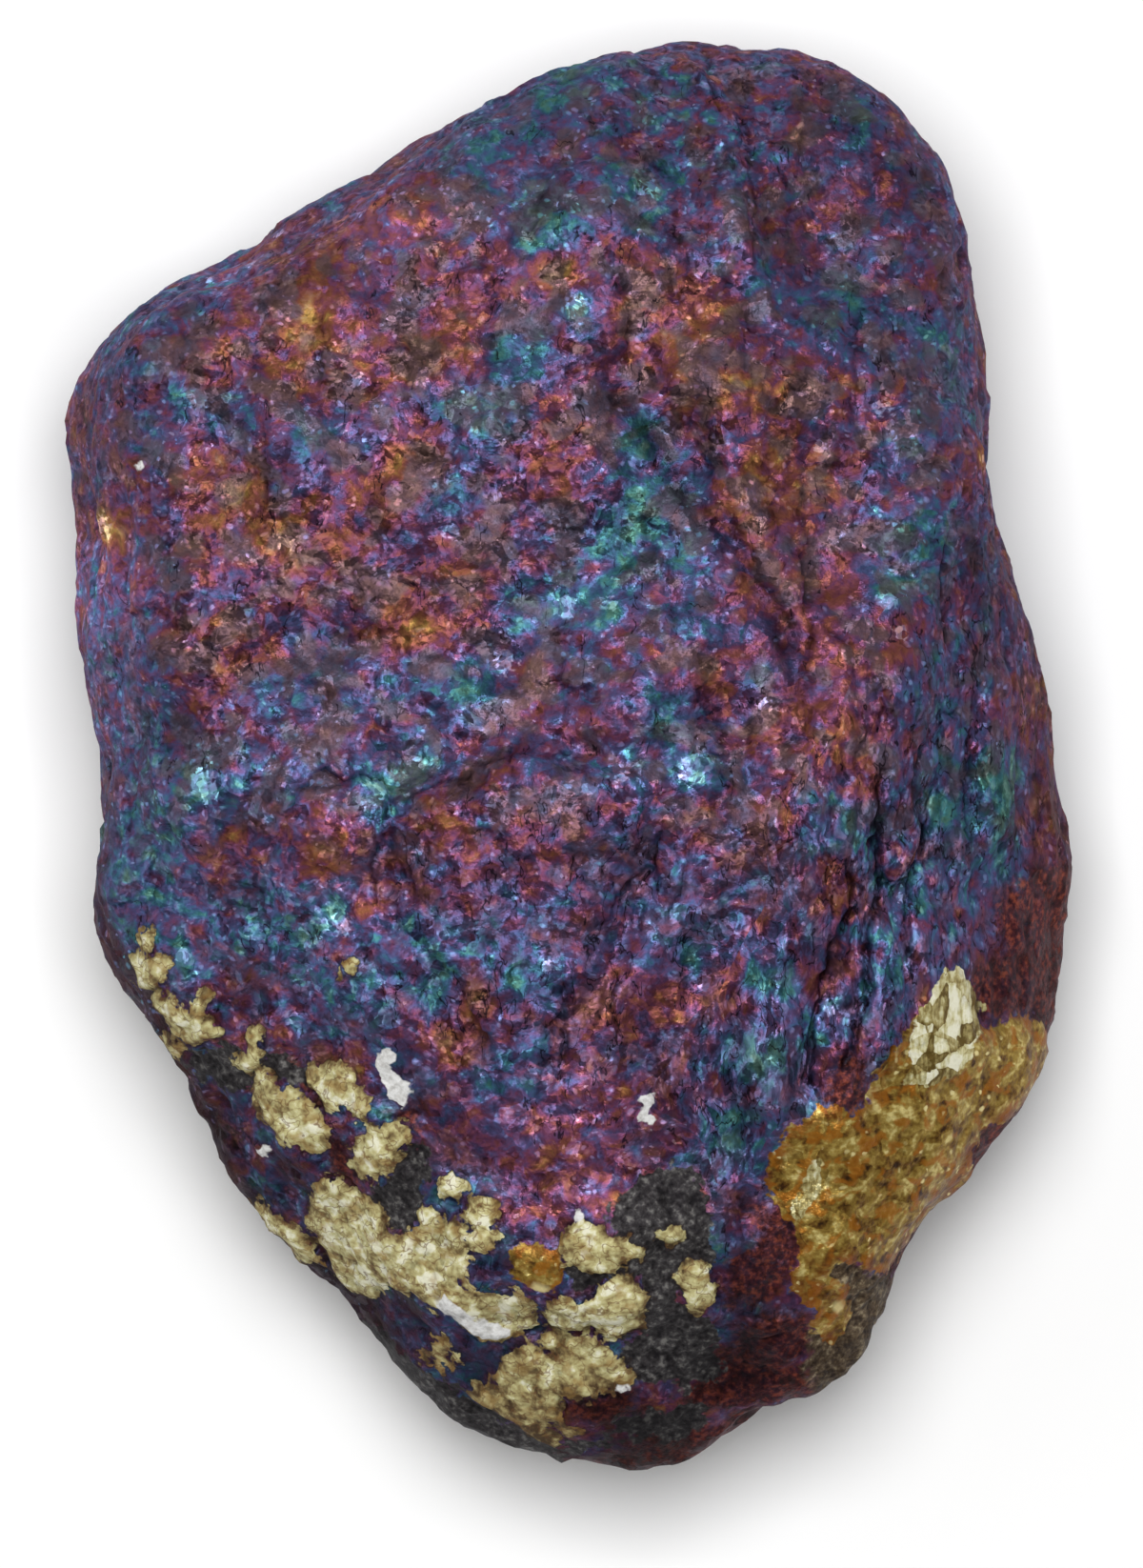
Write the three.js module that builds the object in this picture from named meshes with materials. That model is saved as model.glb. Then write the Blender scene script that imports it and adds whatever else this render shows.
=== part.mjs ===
// Peacock ore: a hand specimen of tarnished copper ore, one natural stone in one solid.
// Millimetres, +Z up. The stone lies on a small flat spot of its broken underside, at Z = 0,
// with its long way along Y and the middle of its outline over the origin.
//
// The surface starts as a sphere of directions. Each direction is pushed out to a rounded body
// with the stone's outline, which flat breaks trim. Ledges, grooves, swells, hollows and pits
// then mark it, and last comes the hackly grain of the ore.

import * as THREE from 'three';
import { mergeVertices } from 'three/addons/utils/BufferGeometryUtils.js';
import { ImprovedNoise } from 'three/addons/math/ImprovedNoise.js';

// ---- Driving dimensions ----

const WIDTH = 53; // along X
const LENGTH = 75; // along Y
const THICKNESS = 33; // along Z
const ABOVE_RIM = 16.4; // from the widest level up to the crown
const REST_LEVEL = -THICKNESS + ABOVE_RIM; // the flat spot, seen from the widest level

const MESH_DETAIL = 21; // splits of each edge of the starting icosahedron, 9,680 triangles
const EVENING_ROUNDS = 70; // passes that even out the triangles over the body
const UPPER_DENSITY = 3; // how much finer, by area, the upper side is than the underside
const EDGE_DENSITY = 4; // how much finer again it is along the ledges and grooves
const EDGE_REACH = 1.5; // how far from their lines that holds

const UPPER_FULLNESS = 4.2; // exponent of the body's section: 2 is an ellipse, more is boxier
const UNDER_FULLNESS = 2.5; // the same below the widest level
const BODY_REACH = 1.15; // how far the untrimmed body goes past the crown and the flat spot
const BREAK_SHARPNESS = 20; // how crisply the flat breaks meet each other and the body

const OUTLINE_STEPS = 12; // points read off the outline's curve between two of its knots
const RING_STEPS = 360; // even turns about the centre at which the outline is kept
const INNER_SPREAD = 14; // turns either way over which the outline is smoothed away from the rim
const RIM_BAND = [0.05, 0.4]; // slope of a direction over which the rim gives way to the smooth outline
const FIT_SECTORS = 96; // sectors in which the finished rim is brought back to the outline
const FIT_PASSES = 6; // how often that is done

// The outline seen from above, counter-clockwise from the right side, as (x, y).
const OUTLINE = [
	[25.4, 0], [24.6, 4.8], [23.4, 9.5], [22.4, 13.2], [21.9, 16], [22.4, 19.2], [21.5, 25],
	[20.6, 28.8], [20.1, 30.7], [18.4, 32.7], [16.4, 35], [13.3, 36.6], [7, 37.4], [3, 36.9],
	[-0.4, 35.8], [-5.6, 32.9], [-10.7, 30.1], [-15.6, 27.2], [-20.6, 24.4], [-24.6, 21.1],
	[-26.5, 17.6], [-25.8, 14.8], [-25.4, 9.2], [-25.1, 4.4], [-24.3, 0], [-24.2, -4.4],
	[-24.5, -8.8], [-22.6, -12.9], [-20.3, -15.5], [-19.5, -17.7], [-18, -21.3], [-14.8, -25.4],
	[-10.8, -29.3], [-8.7, -32.4], [-6.1, -34.8], [0, -37.2], [5, -37.6], [7.5, -36.9],
	[11.2, -34.1], [15.5, -32.3], [17, -29.2], [18, -25.8], [19.9, -23.7], [23.3, -19.5],
	[25.6, -14.8], [26.4, -9.6], [26.2, -4.6],
];

// Flat breaks: the way each one faces and a point that it passes through. Heights here are
// above or below the widest level.
const BREAKS = [
	// the upper side
	{ name: 'crown', towards: [-0.03, 0.03, 1], through: [0, 3, 16.4] },
	{ name: 'left plateau', towards: [-0.1, 0.06, 1], through: [-14, 10, 14.8] },
	{ name: 'upper left bevel', towards: [-0.52, 0.84, 0.16], through: [-15, 27, 3] },
	{ name: 'upper shoulder', towards: [0.36, 0.3, 0.88], through: [9, 22, 14.2] },
	{ name: 'upper end', towards: [0.1, 0.83, 0.55], through: [6, 34, 7.5] },
	{ name: 'right flank', towards: [0.87, 0, 0.49], through: [18.8, 0, 10.6] },
	{ name: 'lower slope', towards: [0.05, -0.2, 0.98], through: [0, -14, 14.8] },
	{ name: 'matrix face', towards: [-0.57, -0.57, 0.59], through: [-9, -17.5, 12.6] },
	{ name: 'foot face', towards: [0.02, -0.72, 0.69], through: [1, -25, 12] },
	{ name: 'brassy face', towards: [0.62, -0.45, 0.64], through: [13.8, -18.6, 11.6] },
	{ name: 'left edge', towards: [-0.93, 0, 0.36], through: [-22.8, 4, 8.4] },
	{ name: 'left shoulder', towards: [-0.62, -0.3, 0.72], through: [-18.5, -6, 11.6] },
	// the underside
	{ name: 'under left', towards: [-0.62, 0.15, -0.77], through: [-16, 4, -13.4] },
	{ name: 'under right', towards: [0.66, 0.1, -0.74], through: [16, 6, -12.8] },
	{ name: 'under top', towards: [0.1, 0.68, -0.72], through: [2, 22, -13.4] },
	{ name: 'under foot', towards: [-0.1, -0.66, -0.74], through: [0, -21, -13.4] },
	{ name: 'under right corner', towards: [0.5, -0.6, -0.62], through: [14, -17, -11.4] },
	{ name: 'under left corner', towards: [-0.55, -0.5, -0.67], through: [-15, -15, -11.4] },
	{ name: 'base, left', towards: [-0.24, 0.06, -0.97], through: [-9, 2, -16.6] },
	{ name: 'base, right', towards: [0.26, 0.04, -0.96], through: [9, 2, -16.6] },
	{ name: 'base, top', towards: [0.03, 0.24, -0.97], through: [1, 12, -16.6] },
	{ name: 'base, foot', towards: [-0.02, -0.2, -0.98], through: [0, -9, -16.7] },
];

// Swells and hollows: middle, half lengths along and across, turn in degrees, and rise.
const SWELLS = [
	{ name: 'middle dome', at: [4.1, 3.6], half: [8, 6.6], turn: 20, rise: 2.3 },
	{ name: 'plateau crown', at: [-5.4, 14.2], half: [13, 8], turn: 35, rise: 1.1 },
	{ name: 'plateau dish', at: [-15, 5.2], half: [7.4, 5], turn: 70, rise: -1 },
	{ name: 'right hollow', at: [13.4, 10.8], half: [9.5, 4.4], turn: 100, rise: -2 },
	{ name: 'shoulder hollow', at: [11.6, 25.4], half: [7.6, 4.6], turn: 60, rise: -1.6 },
	{ name: 'shoulder knob', at: [15.2, 31.2], half: [5, 4], turn: 30, rise: 0.7 },
	{ name: 'upper knoll', at: [1.2, 28.2], half: [6, 4.6], turn: 70, rise: 1.1 },
	{ name: 'left knoll', at: [-19.4, -2.4], half: [5.6, 4.4], turn: 60, rise: 1.2 },
	{ name: 'left dip', at: [-12.4, -8.6], half: [6.6, 4.2], turn: 30, rise: -1.2 },
	{ name: 'lower swell', at: [0.6, -13.2], half: [8.6, 6.4], turn: 80, rise: 1.3 },
	{ name: 'lower dip', at: [8.2, -19.6], half: [6.2, 4.2], turn: 110, rise: -1.2 },
	{ name: 'matrix lump, upper', at: [-13.4, -19], half: [4.4, 3.2], turn: -40, rise: 0.8 },
	{ name: 'matrix lump, middle', at: [-8.2, -25.2], half: [4.8, 3.4], turn: -35, rise: 0.9 },
	{ name: 'matrix lump, lower', at: [0.4, -30.8], half: [4.6, 3.2], turn: -20, rise: 0.9 },
	{ name: 'matrix dip', at: [-3.4, -21.8], half: [4.4, 2.6], turn: -30, rise: -0.7 },
	{ name: 'foot dip', at: [7.4, -29.6], half: [4.4, 3], turn: 70, rise: -0.9 },
	{ name: 'brassy lump', at: [17.4, -19.8], half: [5.4, 3.8], turn: 40, rise: 0.8 },
	{ name: 'foot knob', at: [14.6, -29.8], half: [3.6, 3], turn: 0, rise: 1 },
];

// Ledges: the ground to the left of the path's run stands higher by the drop, and comes back
// to the general level over the fade.
const LEDGES = [
	{
		name: 'middle step', drop: 2.2, face: 1.1, fade: 9,
		path: [
			[11, -0.6], [7.2, 0.1], [4, -1.2], [0.2, -0.9], [-2.6, 0.6], [-6.2, -1.2], [-10.4, -3.4],
		],
	},
	{
		name: 'groove bank', drop: 2.4, face: 1.1, fade: 7,
		path: [[4, 23], [5.2, 18.4], [7.3, 13.6], [9.8, 8.4], [11.9, 5.4], [11, 3.2], [10.3, -0.4]],
	},
	{
		name: 'shoulder bank', drop: 2, face: 1.1, fade: 6,
		path: [[5.6, 35], [6, 31.6], [6.8, 27.4], [8.6, 23.4], [10.4, 20.4]],
	},
	{
		name: 'flank step', drop: 1.6, face: 1, fade: 5,
		path: [[19.2, 20], [18.6, 14], [18.8, 8.2], [18.2, 2]],
	},
	{
		name: 'matrix brow', drop: 1.7, face: 1.1, fade: 6,
		path: [
			[8, -22.6], [3.2, -20.6], [-1.6, -22.2], [-6.6, -20], [-11.4, -15.4], [-17, -12.4],
			[-23, -9.6],
		],
	},
	{
		name: 'brassy brow', drop: 1.5, face: 1, fade: 5,
		path: [[24.6, -13], [20.4, -13.8], [17.2, -15.2], [13.2, -18.4], [11.6, -22.6], [11.8, -27]],
	},
];

// Grooves, or ridges where the depth is below zero: depth, half width and path.
const GROOVES = [
	{
		name: 'bank foot', depth: 1.3, half: 1.7,
		path: [[5.9, 18], [8.2, 13.2], [10.7, 8.2], [12.8, 5.2], [12, 2.6], [11.2, -1]],
	},
	{
		name: 'flank groove, inner', depth: 1.5, half: 1.3,
		path: [[14.6, -5.4], [15, -7.4], [13.6, -11.4], [12.8, -15], [12.4, -18.4]],
	},
	{
		name: 'flank groove, middle', depth: 1.7, half: 1.3,
		path: [[16.3, -1], [15.8, -4.6], [16.5, -6.7], [15.7, -9.4], [15.6, -13], [14.2, -17]],
	},
	{
		name: 'flank groove, outer', depth: 1.5, half: 1.3,
		path: [[18.3, 0.5], [18.2, -4], [17.7, -7.8], [17.9, -10.6], [16.9, -14]],
	},
	{
		name: 'flank ridge', depth: -1.3, half: 1.3,
		path: [[17, -7.6], [16.8, -10.4], [16.2, -13.4], [15.4, -16]],
	},
	{
		name: 'rim ridge', depth: -1.2, half: 1.8,
		path: [[18.6, 20.6], [18.2, 14], [17.6, 7], [17.2, 1]],
	},
	{
		name: 'upper crack', depth: 0.9, half: 1.3,
		path: [[7.4, 36], [7.9, 33.6], [9.6, 30.8], [9.8, 27.6]],
	},
	{
		name: 'left crack', depth: 1.1, half: 1.3,
		path: [[-10, -3], [-9.8, -5.6], [-9.2, -8.2], [-8.4, -10]],
	},
	{
		name: 'lower crack', depth: 1, half: 1.3,
		path: [[5.2, -3.6], [3.6, -6.8], [0.6, -11.6], [-0.4, -14.6], [0.2, -17.6]],
	},
];
const PATH_TAPER = 0.16; // share of a ledge or groove over which each end of it dies out

// Pits: middle, radius and depth, with a flat floor over part of the radius.
const PIT_FLOOR = 0.3;
const PITS = [
	{ at: [-3.9, 4.4], radius: 1.7, depth: 0.9 },
	{ at: [6.2, 16.4], radius: 2, depth: 0.9 },
	{ at: [-12.4, 17.4], radius: 1.8, depth: 0.6 },
	{ at: [-20.4, 10.4], radius: 1.8, depth: 0.6 },
	{ at: [-1.8, 20.6], radius: 1.9, depth: 0.7 },
	{ at: [14.4, 21.8], radius: 1.8, depth: 0.8 },
	{ at: [-16.4, -7], radius: 1.8, depth: 0.7 },
	{ at: [5.8, -9.6], radius: 1.8, depth: 0.7 },
	{ at: [-5.6, -11.8], radius: 1.8, depth: 0.7 },
	{ at: [-5.2, -23], radius: 1.6, depth: 0.8 },
	{ at: [4.6, -24], radius: 1.7, depth: 0.8 },
	{ at: [-1.4, -27.4], radius: 1.5, depth: 0.7 },
	{ at: [18.8, -22.6], radius: 1.6, depth: 0.7 },
];

// The same kinds of form on the underside, seen from above through the stone.
const UNDER_SWELLS = [
	{ name: 'under hollow', at: [-13.5, -14], half: [8, 5], turn: 40, rise: -1.4 },
	{ name: 'under lump', at: [16, 15], half: [7, 5], turn: 60, rise: 1.2 },
	{ name: 'under scoop', at: [3, 26], half: [7, 5], turn: 10, rise: -1.3 },
	{ name: 'under heel', at: [8, -27], half: [7, 4.5], turn: -30, rise: 1.1 },
];
const UNDER_LEDGES = [
	{
		name: 'under step, left', drop: 1.6, face: 1.8, fade: 7,
		path: [[-16, 22], [-17.4, 12], [-15.6, 2], [-17, -8]],
	},
	{
		name: 'under step, right', drop: 1.5, face: 1.8, fade: 7,
		path: [[19, -16], [16.2, -6], [17.4, 4], [14.6, 12]],
	},
];
const UNDER_PITS = [
	{ at: [-19, 6], radius: 2.2, depth: 1 },
	{ at: [9, 22], radius: 2, depth: 0.9 },
	{ at: [14, -22], radius: 2.2, depth: 1 },
	{ at: [-6, -28], radius: 2, depth: 0.9 },
];

// How far broken edges wander from their lines, over what length, and the two patterns used.
const WANDER = { size: 4.4, shift: 0.8, patterns: [4.7, 19.3] };

// Grain of the ore: wavelength or cell size, height, and the pattern used.
const SWELL_GRAIN = { size: 9.5, height: 0.6, pattern: 3.1 };
const LUMP_GRAIN = { size: 4.2, height: 0.26, pattern: 8.7 };
const FACET_GRAIN = { size: 5, height: 0.75, tilt: 1.3, crown: 0.6, level: 0.18 };
const RIM_GRAIN = 0.4; // share of the grain that is left at the widest level
const GRAIN_BAND = [1, 8]; // distance from the widest level over which the grain comes in

const UPPER_BAND = [-8, 4]; // level over which the mesh changes from coarse to fine
const UPPER_FACING = [0.02, 0.3]; // slope over which the upper side's forms come in
const UNDER_FACING = [0.1, 0.4]; // slope over which the underside's forms come in

const STONE_COLOUR = 0x5b4b58; // the mean of the violet, blue and copper tarnish
const STONE_ROUGHNESS = 0.42;
const STONE_METALNESS = 0.55;

// ---- Small helpers ----

const FULL_TURN = 2 * Math.PI;
const MERGE_DISTANCE = 1e-5; // corners of the starting sphere that count as one
const DENSITY_EVERY = 10; // evening passes after which the wanted fineness is worked out anew
const NOISE_GAIN = 1.6; // brings the noise to about 1 at its peaks
const CELL_FACTORS = [127.1, 311.7, 74.7, 53.3]; // scatter a cell's three indices and a salt
const CELL_GAIN = 43758.5453;

const noise = new ImprovedNoise();
const smooth = THREE.MathUtils.smoothstep;

// Noise from about -1 to 1 with features of the given size.
function softNoise({ x, y, z }, { size, pattern }) {
	return NOISE_GAIN * noise.noise(x / size + pattern, y / size - pattern, z / size + 2 * pattern);
}

// A repeatable number from 0 to 1 for a cell of the grain.
function cellNumber(cell, salt) {
	const mixed = Math.sin([...cell, salt].reduce((sum, value, i) => sum + value * CELL_FACTORS[i], 0));
	return mixed * CELL_GAIN - Math.floor(mixed * CELL_GAIN);
}

// Height of the facet grain: the space is split into cells, each cell is a tilted low dome, and
// the highest one shows, so that neighbours meet in crisp creases.
function facetHeight(point, { size, height, tilt, crown, level }) {
	const base = point.toArray().map((value) => Math.floor(value / size));
	let highest = -Infinity;
	for (let i = -1; i <= 1; i++) {
		for (let j = -1; j <= 1; j++) {
			for (let k = -1; k <= 1; k++) {
				const cell = [base[0] + i, base[1] + j, base[2] + k];
				const centre = cell.map((value, axis) => (value + cellNumber(cell, axis)) * size);
				const away = point.toArray().map((value, axis) => (value - centre[axis]) / size);
				const slopes = away.map((value, axis) => value * (2 * cellNumber(cell, axis + 3) - 1));
				const rise = tilt * slopes.reduce((sum, value) => sum + value);
				const fall = crown * away.reduce((sum, value) => sum + value * value, 0);
				highest = Math.max(highest, rise - fall);
			}
		}
	}
	return height * (highest + level);
}

// The distance from a plan point to a path, above zero to the left of the path's run, and how
// far along the path the nearest place lies, from 0 to 1.
function measurePath(x, y, path) {
	let best = { distance: Infinity, side: 1, along: 0 };
	for (let i = 0; i < path.length - 1; i++) {
		const [ax, ay] = path[i];
		const run = [path[i + 1][0] - ax, path[i + 1][1] - ay];
		const reach = ((x - ax) * run[0] + (y - ay) * run[1]) / (run[0] ** 2 + run[1] ** 2);
		const t = THREE.MathUtils.clamp(reach, 0, 1);
		const distance = Math.hypot(x - ax - t * run[0], y - ay - t * run[1]);
		if (distance < best.distance) {
			const side = Math.sign(run[0] * (y - ay) - run[1] * (x - ax)) || 1;
			best = { distance, side, along: (i + t) / (path.length - 1) };
		}
	}
	return best;
}

// 1 in the middle of a path, falling to 0 at both ends.
function taper(along) {
	return smooth(along, 0, PATH_TAPER) * (1 - smooth(along, 1 - PATH_TAPER, 1));
}

// ---- The forms that mark the surface, each a height over a plan point ----

function swellHeight(x, y, { at, half, turn, rise }) {
	const angle = THREE.MathUtils.degToRad(turn);
	const [dx, dy] = [x - at[0], y - at[1]];
	const along = (dx * Math.cos(angle) + dy * Math.sin(angle)) / half[0];
	const across = (dy * Math.cos(angle) - dx * Math.sin(angle)) / half[1];
	const away = Math.min(Math.hypot(along, across), 1);
	return rise * 0.5 * (1 + Math.cos(Math.PI * away));
}

function ledgeHeight(x, y, { path, drop, face, fade }) {
	const { distance, side, along } = measurePath(x, y, path);
	const level = side * smooth(distance, 0, face);
	return 0.5 * drop * level * Math.exp(-distance / fade) * taper(along);
}

function grooveHeight(x, y, { path, depth, half }) {
	const { distance, along } = measurePath(x, y, path);
	return -depth * (1 - smooth(distance, 0, half)) * taper(along);
}

function pitHeight(x, y, { at, radius, depth }) {
	return -depth * (1 - smooth(Math.hypot(x - at[0], y - at[1]), PIT_FLOOR * radius, radius));
}

function total(forms, height, x, y) {
	return forms.reduce((sum, form) => sum + height(x, y, form), 0);
}

// Lets the lines of the relief wander, as broken edges do.
function wander(x, y) {
	const { size, shift, patterns } = WANDER;
	const shifts = patterns.map((pattern) => shift * NOISE_GAIN * noise.noise(x / size, y / size, pattern));
	return [x + shifts[0], y + shifts[1]];
}

function upperRelief(place) {
	const [x, y] = wander(place.x, place.y);
	return total(SWELLS, swellHeight, x, y) + total(LEDGES, ledgeHeight, x, y)
		+ total(GROOVES, grooveHeight, x, y) + total(PITS, pitHeight, x, y);
}

function underRelief(place) {
	const [x, y] = wander(place.x, place.y);
	return total(UNDER_SWELLS, swellHeight, x, y) + total(UNDER_LEDGES, ledgeHeight, x, y)
		+ total(UNDER_PITS, pitHeight, x, y);
}

// ---- The body ----

// The outline's radius for any turn about the centre, read from a closed curve.
function makeOutlineRadius() {
	const knots = OUTLINE.map(([x, y]) => new THREE.Vector3(x, y, 0));
	const curve = new THREE.CatmullRomCurve3(knots, true, 'centripetal');
	const ring = curve.getPoints(OUTLINE.length * OUTLINE_STEPS).slice(0, -1).map((point) => ({
		turn: Math.atan2(point.y, point.x), radius: Math.hypot(point.x, point.y),
	}));
	ring.sort((a, b) => a.turn - b.turn);
	return (turn) => {
		const next = Math.max(ring.findIndex((entry) => entry.turn > turn), 0);
		const after = ring[next];
		const before = ring[(next + ring.length - 1) % ring.length];
		const span = THREE.MathUtils.euclideanModulo(after.turn - before.turn, FULL_TURN);
		const part = THREE.MathUtils.euclideanModulo(turn - before.turn, FULL_TURN) / span;
		return THREE.MathUtils.lerp(before.radius, after.radius, part);
	};
}

// Values kept at even steps round the centre, smoothed over their neighbours.
class Round {
	constructor(values, spread = 0) {
		this.values = values.map((_, i) => {
			let sum = 0;
			for (let k = -spread; k <= spread; k++) {
				sum += values[THREE.MathUtils.euclideanModulo(i + k, values.length)];
			}
			return sum / (2 * spread + 1);
		});
	}

	at(turn) {
		const count = this.values.length;
		const place = THREE.MathUtils.euclideanModulo(turn / FULL_TURN, 1) * count;
		const [before, after] = [Math.floor(place) % count, Math.ceil(place) % count];
		return THREE.MathUtils.lerp(this.values[before], this.values[after], place - Math.floor(place));
	}
}

const outlineRadius = makeOutlineRadius();
const turns = Array.from({ length: RING_STEPS }, (_, i) => (i / RING_STEPS) * FULL_TURN);
const rimRadius = new Round(turns.map((turn) => outlineRadius(turn > Math.PI ? turn - FULL_TURN : turn)));
const innerRadius = new Round(rimRadius.values, INNER_SPREAD);
const breaks = BREAKS.map(({ towards, through }) => {
	const facing = new THREE.Vector3(...towards).normalize();
	return { facing, distance: facing.dot(new THREE.Vector3(...through)) };
});

// The trimmed body's surface along a direction, before any relief. The outline's small bends
// belong to the rim and fade out above and below it.
function bodyPoint(direction) {
	const flat = Math.hypot(direction.x, direction.y);
	const turn = Math.atan2(direction.y, direction.x);
	const away = smooth(Math.abs(direction.z), ...RIM_BAND);
	const radius = THREE.MathUtils.lerp(rimRadius.at(turn), innerRadius.at(turn), away);
	const half = BODY_REACH * (direction.z > 0 ? ABOVE_RIM : -REST_LEVEL);
	const fullness = direction.z > 0 ? UPPER_FULLNESS : UNDER_FULLNESS;
	const body = (flat / radius) ** fullness + (Math.abs(direction.z) / half) ** fullness;
	let sum = body ** (BREAK_SHARPNESS / fullness);
	for (const { facing, distance } of breaks) {
		sum += (Math.max(facing.dot(direction), 0) / distance) ** BREAK_SHARPNESS;
	}
	return direction.clone().multiplyScalar(sum ** (-1 / BREAK_SHARPNESS));
}

// How fine the mesh is meant to be at a place of the body.
function meshDensity(place) {
	const up = smooth(place.z, ...UPPER_BAND);
	const [x, y] = wander(place.x, place.y);
	const distances = [...LEDGES, ...GROOVES].map(({ path }) => measurePath(x, y, path).distance);
	const nearest = Math.min(...distances);
	const edge = up * Math.exp(-((nearest / EDGE_REACH) ** 2));
	return THREE.MathUtils.lerp(1, UPPER_DENSITY, up) * THREE.MathUtils.lerp(1, EDGE_DENSITY, edge);
}

// Moves the corners along the body, each towards the large triangles about it, until the
// triangles are as fine as they are meant to be everywhere.
function evenOut(corners, triangles) {
	let density = [];
	for (let round = 0; round < EVENING_ROUNDS; round++) {
		if (round % DENSITY_EVERY === 0) density = corners.map(meshDensity);
		const pull = corners.map(() => ({ place: new THREE.Vector3(), weight: 0 }));
		for (const triangle of triangles) {
			const [a, b, c] = triangle.map((index) => corners[index]);
			const middle = a.clone().add(b).add(c).divideScalar(3);
			const area = b.clone().sub(a).cross(c.clone().sub(a)).length();
			const weight = area * (density[triangle[0]] + density[triangle[1]] + density[triangle[2]]);
			for (const index of triangle) {
				pull[index].place.addScaledVector(middle, weight);
				pull[index].weight += weight;
			}
		}
		corners.forEach((corner, index) => {
			const { place, weight } = pull[index];
			corner.copy(bodyPoint(place.divideScalar(weight).normalize()));
		});
	}
}

// Height of the relief and grain over a place of the body that faces the given way.
function markHeight(place, facing) {
	const upward = smooth(facing.z, ...UPPER_FACING);
	const downward = smooth(-facing.z, ...UNDER_FACING);
	const grainShare = THREE.MathUtils.lerp(RIM_GRAIN, 1, smooth(Math.abs(place.z), ...GRAIN_BAND));
	const grain = SWELL_GRAIN.height * softNoise(place, SWELL_GRAIN)
		+ LUMP_GRAIN.height * softNoise(place, LUMP_GRAIN)
		+ facetHeight(place, FACET_GRAIN);
	return upward * upperRelief(place) + downward * underRelief(place) + grainShare * grain;
}

// Widens or narrows the stone at each turn, so that its rim follows the outline.
function fitRim(places) {
	const reach = new Array(FIT_SECTORS).fill(0);
	for (let i = 0; i < places.count; i++) {
		const turn = Math.atan2(places.getY(i), places.getX(i));
		const sector = Math.round(THREE.MathUtils.euclideanModulo(turn / FULL_TURN, 1) * FIT_SECTORS);
		const share = Math.hypot(places.getX(i), places.getY(i)) / rimRadius.at(turn);
		reach[sector % FIT_SECTORS] = Math.max(reach[sector % FIT_SECTORS], share);
	}
	const fit = new Round(reach.map((share) => 1 / share));
	for (let i = 0; i < places.count; i++) {
		const share = fit.at(Math.atan2(places.getY(i), places.getX(i)));
		places.setXY(i, places.getX(i) * share, places.getY(i) * share);
	}
}

// ---- The solid ----

function makeStoneGeometry() {
	const sphere = new THREE.IcosahedronGeometry(1, MESH_DETAIL);
	sphere.deleteAttribute('normal');
	sphere.deleteAttribute('uv');
	const geometry = mergeVertices(sphere, MERGE_DISTANCE);
	const places = geometry.getAttribute('position');
	const index = geometry.getIndex();
	const triangles = Array.from({ length: index.count / 3 }, (_, i) => (
		[index.getX(3 * i), index.getX(3 * i + 1), index.getX(3 * i + 2)]));

	const corners = Array.from({ length: places.count }, (_, i) => (
		bodyPoint(new THREE.Vector3().fromBufferAttribute(places, i).normalize())));
	evenOut(corners, triangles);
	corners.forEach((corner, i) => places.setXYZ(i, corner.x, corner.y, corner.z));
	geometry.computeVertexNormals();

	const facing = new THREE.Vector3();
	corners.forEach((corner, i) => {
		facing.fromBufferAttribute(geometry.getAttribute('normal'), i);
		const marked = corner.clone().addScaledVector(facing, markHeight(corner, facing));
		places.setXYZ(i, marked.x, marked.y, Math.max(marked.z, REST_LEVEL));
	});
	for (let pass = 0; pass < FIT_PASSES; pass++) fitRim(places);

	geometry.computeBoundingBox();
	const box = geometry.boundingBox;
	const size = box.getSize(new THREE.Vector3());
	const middle = box.getCenter(new THREE.Vector3());
	geometry.translate(-middle.x, -middle.y, -box.min.z);
	geometry.scale(WIDTH / size.x, LENGTH / size.y, THICKNESS / size.z);
	geometry.computeVertexNormals();
	return geometry;
}

const material = new THREE.MeshStandardMaterial({
	color: STONE_COLOUR,
	roughness: STONE_ROUGHNESS,
	metalness: STONE_METALNESS,
	flatShading: true,
});

const ore = new THREE.Mesh(makeStoneGeometry(), material);
ore.name = 'ore';

const specimen = new THREE.Group();
specimen.name = 'peacock_ore';
specimen.add(ore);

export default specimen;
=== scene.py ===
"""Dresses a hand specimen of peacock ore and sets it in a plain studio.

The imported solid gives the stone's size, place and main relief. This script refines its surface,
breaks it into hackly grains, cracks and crusts, and gives it its tarnish, matrix and brassy ore.
"""

import logging
import math
from dataclasses import dataclass, field
from enum import Enum

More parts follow.
